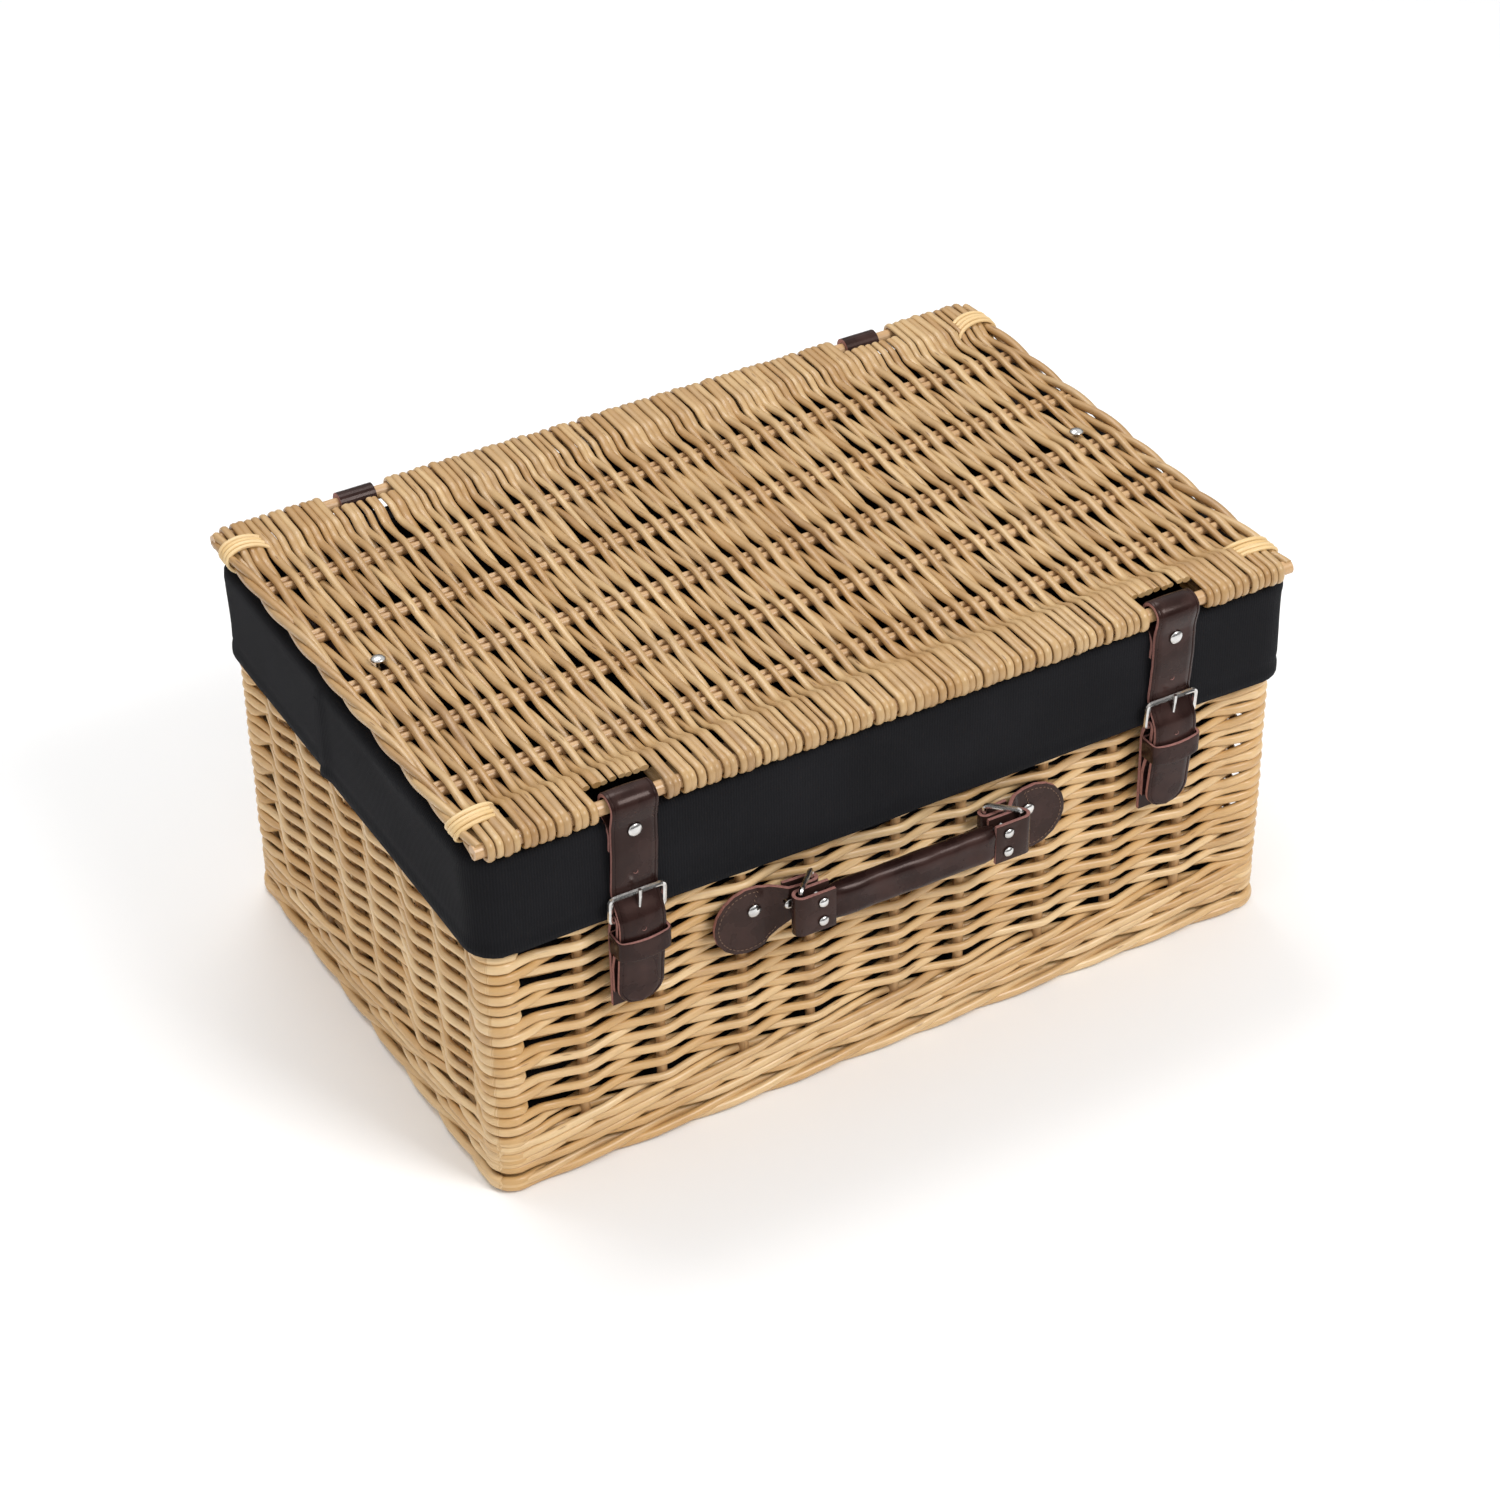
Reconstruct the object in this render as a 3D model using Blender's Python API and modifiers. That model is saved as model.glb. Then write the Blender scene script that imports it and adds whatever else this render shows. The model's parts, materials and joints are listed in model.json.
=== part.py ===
"""Woven willow hamper with a cotton liner, a lid hinged on leather straps, two buckled closure
straps and a leather carrying handle.  +Z is up, the front faces -Y, the underside is z = 0.
Sizes below are millimetres; meshes are written in metres."""

import math

import bmesh
import bpy
from mathutils import Matrix, Vector

MM = 0.001
GAP = 0.3  # clearance between pieces that touch

# Overall sizes
LID_LENGTH = 510.0
LID_DEPTH = 342.0
LID_TOP = 247.5
LID_THICKNESS = 12.0
LID_OVERHANG = 5.0  # past the body, at each end
WALL = 6.0
CORNER_RADIUS = 14.0

# Willow
FOOT_HEIGHT = 10.0
FOOT_BULGE = 3.0
BASE_THICKNESS = 8.0
WALING_TOP = 42.0
RIM_HEIGHT = 9.0
ROW_PITCH = 6.6
ROW_DEPTH = 1.2
POST_RADIUS = 6.3
STICK_RADIUS = 4.0
LASHING = (25.0, 13.0, 1.5)  # across the lid, along its end, thickness
LASHING_Y = 142.0

# Cotton
CLOTH = 1.5
CUFF_CLEARANCE = 1.0
CUFF_DROP_FRONT = 63.0
CUFF_DROP_BACK = 60.0
CUFF_SPLIT_Y = 10.0

# Leather closures, one at each x
CLOSURES = {"left": -164.0, "right": 172.0}
HINGES = {"left": -164.0, "right": 172.0}
STRAP_WIDTH = 27.0
STRAP = 2.6
STRAP_RIVET_DROP = 9.0  # below the lid's underside
STRAP_TIP_DROP = 63.0  # below the heel bar
LAYER_GAP = 0.4
TAB = 2.4
TAB_END_DROP = 61.0
HINGE_WIDTH = 22.0
HINGE_TAIL_DROP = 30.5
BUCKLE_WIRE = 3.2
BUCKLE_SLACK = 0.7  # each side of the strap
HEEL_DROP = 77.5  # below the lid's top
BUCKLE_RISE = 16.0
HEEL_OUT = 8.0
PRONG_WIRE = 2.2
KEEPER = (12.0, 1.8)  # height and thickness of the loop
KEEPER_DROP = 15.0  # below the heel bar

# Carrying handle
HANDLE_X = -4.0
HANDLE_DROP = 104.5  # below the lid's top
PATCH = 2.2
PATCH_RADIUS = 21.5
PATCH_DISC = (90.0, -11.0)  # from the handle's middle: along, and up
PATCH_RIVETS = ((87.0, -5.0), (71.0, 0.0))
NECK_HALF = 9.0
NECK_BAR = (55.0, 8.0)  # distance from the handle's middle, and out from the wall
RING_WIRE = 3.0
GRIP_BAR = (69.6, 22.2)
GRIP_HALF_LENGTH = 50.0
GRIP_HALF_HEIGHT = 11.0
GRIP_HALF_THICKNESS = 6.0
TONGUE_HALF = 2.5
END_TAB_HALF_HEIGHT = 12.5
END_TAB_RIVET = (58.5, 6.25)

# Lid stays
STAY_WIDTH = 18.0
STAY = 2.0
STAY_WALL_Y = 28.0
STAY_WALL_DROP = 81.5  # below the lid's top
STAY_LID_INSET = 26.0  # in from the end wall's face
STAY_LID_Y = 5.0
LID_SWING = 100.0

# Rivets
SHANK = 1.5
DOME = 4.4
SMALL_DOME = 3.3
DOME_HEIGHT = 1.8
BURR = 0.7

# Positions that follow from the sizes
LID_BOTTOM = LID_TOP - LID_THICKNESS
LID_MIDDLE = (LID_TOP + LID_BOTTOM) / 2
STICK_Y = LID_DEPTH / 2 - LID_THICKNESS / 2
LOOP_RADIUS = STICK_RADIUS + GAP + STRAP / 2
CUFF_FACE = CUFF_CLEARANCE + CLOTH
STRAP_OUT = CUFF_FACE + 2 * GAP + BURR + 1.5 * STRAP + LAYER_GAP
INNER_OUT = STRAP_OUT - STRAP - LAYER_GAP
HALF_X = LID_LENGTH / 2 - LID_OVERHANG
HALF_Y = STICK_Y + LOOP_RADIUS - STRAP_OUT
# A post stands inside the body's rounded corner, and the liner's corner passes inside the post.
DIAGONAL = math.sqrt(0.5)
POST_INSET = (1 - DIAGONAL) * CORNER_RADIUS + DIAGONAL * POST_RADIUS - GAP
LINER_RADIUS = (POST_INSET + DIAGONAL * POST_RADIUS + 2 * GAP - WALL) / (1 - DIAGONAL)
FLANGE_TOP = min(LID_BOTTOM, LID_MIDDLE - LOOP_RADIUS - STRAP / 2) - 0.9
FLANGE_BOTTOM = FLANGE_TOP - CLOTH
RIM_TOP = FLANGE_BOTTOM - GAP
WALL_TOP = RIM_TOP - RIM_HEIGHT - GAP
STAY_LID_X = HALF_X - STAY_LID_INSET
STAY_WALL_Z = LID_TOP - STAY_WALL_DROP
CUFF_OUT = CUFF_CLEARANCE + CLOTH / 2
HEEL_Z = LID_TOP - HEEL_DROP
BUCKLE_WIDTH = STRAP_WIDTH + 2 * (BUCKLE_SLACK + BUCKLE_WIRE)
KEEPER_Z = HEEL_Z - KEEPER_DROP
STRAP_TIP_Z = HEEL_Z - STRAP_TIP_DROP
TAB_END_Z = HEEL_Z - TAB_END_DROP
HINGE_TAIL_Z = LID_BOTTOM - HINGE_TAIL_DROP
HANDLE_Z = LID_TOP - HANDLE_DROP
FOLD_RADIUS = BUCKLE_WIRE / 2 + GAP + TAB / 2
TOP_BAR_OUT = HEEL_OUT + 1.3
NECK_FOLD = RING_WIRE / 2 + GAP + PATCH / 2
END_TAB_FOLD = TONGUE_HALF + GAP + PATCH / 2
RING_HALF_HEIGHT = END_TAB_HALF_HEIGHT + GAP + RING_WIRE / 2


for leftover in list(bpy.data.objects):
    bpy.data.objects.remove(leftover, do_unlink=True)
HAMPER = bpy.data.collections.new("hamper")
CUTTERS = bpy.data.collections.new("cutters")
CUTTERS.hide_render = True
bpy.context.scene.collection.children.link(HAMPER)
bpy.context.scene.collection.children.link(CUTTERS)


def material(name, color, roughness, metallic=0.0):
    made = bpy.data.materials.new(name)
    made.use_nodes = True
    shader = made.node_tree.nodes["Principled BSDF"]
    shader.inputs["Base Color"].default_value = (*color, 1.0)
    shader.inputs["Roughness"].default_value = roughness
    shader.inputs["Metallic"].default_value = metallic
    return made


WILLOW = ((0.62, 0.42, 0.20), 0.5)
STICK = ((0.68, 0.50, 0.28), 0.5)
COTTON = ((0.012, 0.012, 0.015), 0.9)
LEATHER = ((0.045, 0.020, 0.018), 0.4)
METAL = ((0.75, 0.75, 0.76), 0.2, 1.0)


def add(name, mesh, look):
    """Puts a mesh into the scene as a node with a material of its own."""
    obj = bpy.data.objects.new(name, mesh)
    HAMPER.objects.link(obj)
    mesh.materials.clear()
    mesh.materials.append(material(name, *look))
    return obj


def mesh_from(name, points, faces):
    mesh = bpy.data.meshes.new(name)
    mesh.from_pydata([Vector(p) * MM for p in points], [], faces)
    return mesh


def arc(centre, radius, start, end, steps):
    """Points of a circular arc, angles in degrees."""
    angles = [math.radians(start + (end - start) * i / steps) for i in range(steps + 1)]
    return [(centre[0] + radius * math.cos(a), centre[1] + radius * math.sin(a)) for a in angles]


def rounded_rectangle(half_x, half_y, radius, steps=4):
    points = []
    for sx, sy, start in ((1, 1, 0), (-1, 1, 90), (-1, -1, 180), (1, -1, 270)):
        centre = (sx * (half_x - radius), sy * (half_y - radius))
        points += arc(centre, radius, start, start + 90, steps)
    return points


def plate(name, outlines, half, look, place=Matrix()):
    """A flat outline, with any holes, thickened both ways along its local Z."""
    curve = bpy.data.curves.new(name, "CURVE")
    curve.dimensions = "2D"
    curve.fill_mode = "BOTH"
    curve.extrude = half * MM
    for outline in outlines:
        spline = curve.splines.new("POLY")
        spline.points.add(len(outline) - 1)
        for point, (x, y) in zip(spline.points, outline):
            point.co = (x * MM, y * MM, 0, 1)
        spline.use_cyclic_u = True
    flat = bpy.data.objects.new(name, curve)
    bpy.context.scene.collection.objects.link(flat)
    bpy.context.view_layer.update()
    graph = bpy.context.evaluated_depsgraph_get()
    mesh = bpy.data.meshes.new_from_object(flat.evaluated_get(graph))
    bpy.data.objects.remove(flat, do_unlink=True)
    bpy.data.curves.remove(curve)
    made = bmesh.new()
    made.from_mesh(mesh)
    bmesh.ops.remove_doubles(made, verts=made.verts, dist=1e-6)
    bmesh.ops.transform(made, matrix=place, verts=made.verts)
    bmesh.ops.recalc_face_normals(made, faces=made.faces)
    made.to_mesh(mesh)
    made.free()
    mesh.name = name
    return add(name, mesh, look)


def lofted(name, rings, look, closed):
    """Skin over rings of equal count: a closed section, or one that is capped at both ends."""
    count = len(rings[0])
    points = [p for ring in rings for p in ring]
    faces = []
    for i in range(len(rings) if closed else len(rings) - 1):
        a, b = i * count, (i + 1) % len(rings) * count
        faces += [(a + j, a + (j + 1) % count, b + (j + 1) % count, b + j) for j in range(count)]
    if not closed:
        faces += [tuple(reversed(range(count))), tuple(range(len(points) - count, len(points)))]
    obj = add(name, mesh_from(name, points, faces), look)
    made = bmesh.new()
    made.from_mesh(obj.data)
    bmesh.ops.recalc_face_normals(made, faces=made.faces)
    made.to_mesh(obj.data)
    made.free()
    return obj


def frame_ring(inset_x, inset_y, radius, z):
    """One rounded rectangle of the loft, insets measured in from the body's faces."""
    return [(x, y, z) for x, y in rounded_rectangle(HALF_X - inset_x, HALF_Y - inset_y, radius)]


def rod_mesh(name, start, end, radius, sides=20):
    start, end = Vector(start), Vector(end)
    made = bmesh.new()
    bmesh.ops.create_cone(
        made, cap_ends=True, segments=sides, radius1=radius * MM, radius2=radius * MM,
        depth=(end - start).length * MM,
    )
    turn = Vector((0, 0, 1)).rotation_difference(end - start).to_matrix().to_4x4()
    place = Matrix.Translation((start + end) / 2 * MM) @ turn
    bmesh.ops.transform(made, matrix=place, verts=made.verts)
    mesh = bpy.data.meshes.new(name)
    made.to_mesh(mesh)
    made.free()
    return mesh


def rod(name, start, end, radius, look):
    mesh = rod_mesh(name, start, end, radius)
    for polygon in mesh.polygons:
        polygon.use_smooth = len(polygon.vertices) == 4
    return add(name, mesh, look)


def as_cutter(name, mesh):
    obj = bpy.data.objects.new(name, mesh)
    CUTTERS.objects.link(obj)
    obj.hide_render = True
    obj.display_type = "WIRE"
    return obj


def box_cutter(name, low, high):
    made = bmesh.new()
    bmesh.ops.create_cube(made, size=1.0)
    for vert in made.verts:
        vert.co = Vector([(low[i] + high[i]) / 2 + vert.co[i] * (high[i] - low[i]) for i in range(3)]) * MM
    mesh = bpy.data.meshes.new(name)
    made.to_mesh(mesh)
    made.free()
    return as_cutter(name, mesh)


def cut(targets, cutter):
    for target in targets:
        modifier = target.modifiers.new(cutter.name, "BOOLEAN")
        modifier.operation = "DIFFERENCE"
        modifier.solver = "EXACT"
        modifier.object = cutter


def tube(name, points, radius, look, closed):
    """A wire of round section along the points."""
    curve = bpy.data.curves.new(name, "CURVE")
    curve.dimensions = "3D"
    curve.bevel_depth = radius * MM
    curve.bevel_resolution = 2
    curve.use_fill_caps = True
    spline = curve.splines.new("POLY")
    spline.points.add(len(points) - 1)
    for point, place in zip(spline.points, points):
        point.co = (*(Vector(place) * MM), 1)
    spline.use_cyclic_u = closed
    spline.use_smooth = True
    obj = bpy.data.objects.new(name, curve)
    HAMPER.objects.link(obj)
    curve.materials.append(material(name, *look))
    return obj


def band(name, stations, thickness, look):
    """A flat strap through stations of (centre, half-width vector), thickened both ways."""
    points = []
    for centre, half in stations:
        points += [Vector(centre) - Vector(half), Vector(centre), Vector(centre) + Vector(half)]
    faces = []
    for i in range(len(stations) - 1):
        a = 3 * i
        faces += [(a, a + 1, a + 4, a + 3), (a + 1, a + 2, a + 5, a + 4)]
    obj = add(name, mesh_from(name, points, faces), look)
    shell = obj.modifiers.new("leather", "SOLIDIFY")
    shell.thickness = thickness * MM
    shell.offset = 0
    shell.use_even_offset = True
    return obj


def rivet(name, under_dome, faces_to, grip, through, dome=DOME, burr=0.0):
    """A turned rivet and the holes for its shank.  A blind one has no burr at its tail."""
    profile = [(0.0, DOME_HEIGHT), (0.5 * dome, 0.85 * DOME_HEIGHT), (0.85 * dome, 0.45 * DOME_HEIGHT)]
    profile += [(dome, 0.0), (SHANK, 0.0), (SHANK, -grip)]
    if burr:
        profile += [(burr, -grip), (burr, -grip - BURR)]
    profile += [(0.0, profile[-1][1])]
    points = [(r, 0.0, h) for r, h in profile]
    mesh = mesh_from(name, points, [])
    mesh.edges.add(len(points) - 1)
    for i, edge in enumerate(mesh.edges):
        edge.vertices = (i, i + 1)
    obj = add(name, mesh, METAL)
    turn = Vector((0, 0, 1)).rotation_difference(Vector(faces_to)).to_matrix().to_4x4()
    obj.matrix_world = Matrix.Translation(Vector(under_dome) * MM) @ turn
    screw = obj.modifiers.new("turned", "SCREW")
    screw.steps = screw.render_steps = 14
    screw.use_merge_vertices = True
    screw.merge_threshold = 1e-5
    screw.use_smooth_shade = True
    start = Vector(under_dome) + Vector(faces_to) * 2
    end = Vector(under_dome) - Vector(faces_to) * (grip + GAP if not burr else grip + 3)
    cut(through, as_cutter(f"hole_{name}", rod_mesh(name, start, end, SHANK + GAP, 16)))
    return obj


def front(x, out, z):
    """A point that stands out from the front wall's face."""
    return (x, -HALF_Y - out, z)


# The willow body

base = plate(
    "base_panel",
    [rounded_rectangle(HALF_X - WALL - GAP, HALF_Y - WALL - GAP, CORNER_RADIUS - WALL)],
    BASE_THICKNESS / 2,
    WILLOW,
    Matrix.Translation((0, 0, BASE_THICKNESS / 2 * MM)),
)

foot_section = [(WALL, 0.0), (-FOOT_BULGE + 3, 0.0), (-FOOT_BULGE + 0.9, 0.9), (-FOOT_BULGE, 3.5)]
foot_section += [(-FOOT_BULGE, 6.5), (-FOOT_BULGE + 1, FOOT_HEIGHT - 1), (-FOOT_BULGE + 3, FOOT_HEIGHT)]
foot_section += [(WALL, FOOT_HEIGHT)]
foot = lofted(
    "foot_border",
    [frame_ring(inset, inset, CORNER_RADIUS - max(inset, 0), z) for inset, z in foot_section],
    WILLOW,
    closed=True,
)

rim = lofted(
    "rim_border",
    [
        frame_ring(inset, inset, CORNER_RADIUS - inset, z)
        for inset, z in (
            (WALL, RIM_TOP - RIM_HEIGHT), (0.0, RIM_TOP - RIM_HEIGHT), (0.0, RIM_TOP - 2),
            (2.0, RIM_TOP), (WALL - 2, RIM_TOP), (WALL, RIM_TOP - 2),
        )
    ],
    WILLOW,
    closed=True,
)


def wall_section():
    """The wall's outer face row by row, as (inward from the face, height), with its flat inner face."""
    section = []
    low = FOOT_HEIGHT + GAP
    waling = 3
    bands = [(low + (WALING_TOP - low) * i / waling, (WALING_TOP - low) / waling) for i in range(waling)]
    rows = round((WALL_TOP - WALING_TOP) / ROW_PITCH)
    pitch = (WALL_TOP - WALING_TOP) / rows
    bands += [(WALING_TOP + pitch * i, pitch) for i in range(rows)]
    for start, height in bands:
        for share in (0.08, 0.35, 0.65, 0.92):
            sunk = ROW_DEPTH * (2 * share - 1) ** 2
            section.append((sunk, start + height * share))
    return section + [(WALL, section[-1][1]), (WALL, section[0][1])]


SECTION = wall_section()
POST_X = HALF_X - POST_INSET
POST_Y = HALF_Y - POST_INSET
walls = {}
for side, turn, face, half_length in (
    ("front", 0, HALF_Y, POST_X - POST_RADIUS - GAP),
    ("right", 90, HALF_X, POST_Y - POST_RADIUS - GAP),
    ("back", 180, HALF_Y, POST_X - POST_RADIUS - GAP),
    ("left", 270, HALF_X, POST_Y - POST_RADIUS - GAP),
):
    # Local X of the outline points into the basket, local Y up, local Z along the wall.
    place = Matrix.Rotation(math.radians(turn), 4, "Z") @ Matrix(
        ((0, 0, 1, 0), (1, 0, 0, -face * MM), (0, 1, 0, 0), (0, 0, 0, 1))
    )
    walls[side] = plate(f"wall_{side}", [SECTION], half_length, WILLOW, place)

for x_name, sx in (("left", -1), ("right", 1)):
    for y_name, sy in (("front", -1), ("back", 1)):
        rod(
            f"corner_post_{y_name}_{x_name}",
            (sx * POST_X, sy * POST_Y, FOOT_HEIGHT + GAP),
            (sx * POST_X, sy * POST_Y, WALL_TOP),
            POST_RADIUS,
            WILLOW,
        )

# The cotton liner: a bag that turns out over the rim, and the two cuffs that hang from it

OUTER = WALL + GAP
INNER = OUTER + CLOTH
liner = lofted(
    "liner_bag",
    [
        frame_ring(OUTER, OUTER, LINER_RADIUS, BASE_THICKNESS + GAP),
        frame_ring(OUTER, OUTER, LINER_RADIUS, FLANGE_BOTTOM),
        frame_ring(-CUFF_FACE, -CUFF_FACE, CORNER_RADIUS, FLANGE_BOTTOM),
        frame_ring(-CUFF_FACE, -CUFF_FACE, CORNER_RADIUS, FLANGE_TOP),
        frame_ring(INNER, INNER, LINER_RADIUS - CLOTH, FLANGE_TOP),
        frame_ring(INNER, INNER, LINER_RADIUS - CLOTH, BASE_THICKNESS + GAP + CLOTH),
    ],
    COTTON,
    closed=False,
)


def cuff(name, sy, split, drop):
    """A hanging cuff along one long side and round both of its corners."""
    x, y = HALF_X + CUFF_OUT, HALF_Y + CUFF_OUT
    path = [(-x, split * sy)]
    path += arc((-x + CORNER_RADIUS, y - CORNER_RADIUS), CORNER_RADIUS, 180, 90, 6)
    path += arc((x - CORNER_RADIUS, y - CORNER_RADIUS), CORNER_RADIUS, 90, 0, 6)
    path += [(x, split * sy)]
    top = FLANGE_BOTTOM - GAP
    stations = [((px, py * sy, top - drop / 2), (0, 0, drop / 2)) for px, py in path]
    return band(name, stations, CLOTH, COTTON)


cuff_front = cuff("cuff_front", -1, CUFF_SPLIT_Y, CUFF_DROP_FRONT)
cuff_back = cuff("cuff_back", 1, CUFF_SPLIT_Y + 1, CUFF_DROP_BACK)

# The lid

half_lid = LID_LENGTH / 2 - LASHING[2] - GAP
lid_outline = arc((STICK_Y, LID_MIDDLE), LID_THICKNESS / 2, -90, 90, 8)
lid_outline += arc((-STICK_Y, LID_MIDDLE), LID_THICKNESS / 2, 90, 270, 8)
bores = [arc((sy * STICK_Y, LID_MIDDLE), STICK_RADIUS + GAP, 0, 360 - 18, 19) for sy in (-1, 1)]
lid = plate(
    "lid_panel",
    [lid_outline, *bores],
    half_lid,
    WILLOW,
    Matrix(((0, 0, 1, 0), (1, 0, 0, 0), (0, 1, 0, 0), (0, 0, 0, 1))),
)
for where, sy, places, width in (
    ("front", -1, CLOSURES, STRAP_WIDTH),
    ("back", 1, HINGES, HINGE_WIDTH),
):
    for side, x in places.items():
        inner = sy * (STICK_Y - LOOP_RADIUS - STRAP / 2 - 0.9)
        outer = sy * (LID_DEPTH / 2 + 5)
        notch = box_cutter(
            f"notch_{where}_{side}",
            (x - width / 2 - 0.9, min(inner, outer), LID_BOTTOM - 5),
            (x + width / 2 + 0.9, max(inner, outer), LID_TOP + 5),
        )
        cut([lid], notch)
    rod(
        f"lid_{where}_stick",
        (-half_lid + 1, sy * STICK_Y, LID_MIDDLE),
        (half_lid - 1, sy * STICK_Y, LID_MIDDLE),
        STICK_RADIUS,
        STICK,
    )

for x_name, sx in (("left", -1), ("right", 1)):
    for y_name, sy in (("front", -1), ("back", 1)):
        wide, long, thick = LASHING
        out, top = half_lid + GAP, LID_TOP + GAP
        corner = [(out + thick - wide, top), (out, top), (out, LID_BOTTOM + 1), (out + thick, LID_BOTTOM + 1)]
        corner += [(out + thick, top + thick - 1), (out + thick - 1, top + thick)]
        corner += [(out + thick - wide, top + thick)]
        plate(
            f"lid_lashing_{y_name}_{x_name}",
            [[(sx * x, z) for x, z in corner]],
            long / 2,
            WILLOW,
            Matrix(((1, 0, 0, 0), (0, 0, -1, sy * LASHING_Y * MM), (0, 1, 0, 0), (0, 0, 0, 1))),
        )


# The leather straps that the lid hinges on: a loop round the lid's back stick, both tails down
# the outside of the back wall

def loop_path(tail_z):
    """(out from the wall, z) of a strap that loops round a lid stick: inner tail first."""
    stick = (STICK_Y - HALF_Y, LID_MIDDLE)
    # In this plane "out" grows away from the basket, so the loop runs from under the stick,
    # round its inner side and over the top to the outside.
    path = [(INNER_OUT, tail_z), (INNER_OUT, stick[1] - LOOP_RADIUS - 3.2)]
    path += [(INNER_OUT - 0.4, stick[1] - LOOP_RADIUS - 1.0)]
    path += arc(stick, LOOP_RADIUS, -100, -360, 18)
    return path


for side, x in HINGES.items():
    path = loop_path(HINGE_TAIL_Z) + [(STRAP_OUT, HINGE_TAIL_Z + 20), (STRAP_OUT, HINGE_TAIL_Z)]
    stations = [((x, HALF_Y + out, z), (HINGE_WIDTH / 2, 0, 0)) for out, z in path]
    strap = band(f"hinge_strap_{side}", stations, STRAP, LEATHER)
    head = HALF_Y + STRAP_OUT + STRAP / 2 + GAP
    rivet(
        f"hinge_rivet_{side}",
        (x, head, HINGE_TAIL_Z + 9),
        (0, 1, 0),
        head - HALF_Y + WALL - 2,
        [strap, cuff_back, walls["back"]],
        dome=SMALL_DOME,
    )

# The closures: strap, chape, keeper, buckle frame and prong

TOP_BAR_Z = HEEL_Z + BUCKLE_RISE
BEHIND_TOP_BAR = TOP_BAR_OUT - BUCKLE_WIRE / 2 - 0.4 - STRAP / 2
OVER_HEEL = HEEL_OUT + FOLD_RADIUS + TAB / 2 + 0.5 + STRAP / 2
TAB_BACK = GAP + TAB / 2
TAB_FRONT = TAB_BACK + TAB + GAP
SLOT_HALF = PRONG_WIRE / 2 + 0.9
KEEPER_BACK = TAB_BACK + TAB / 2 + 0.9 + KEEPER[1] / 2

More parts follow.
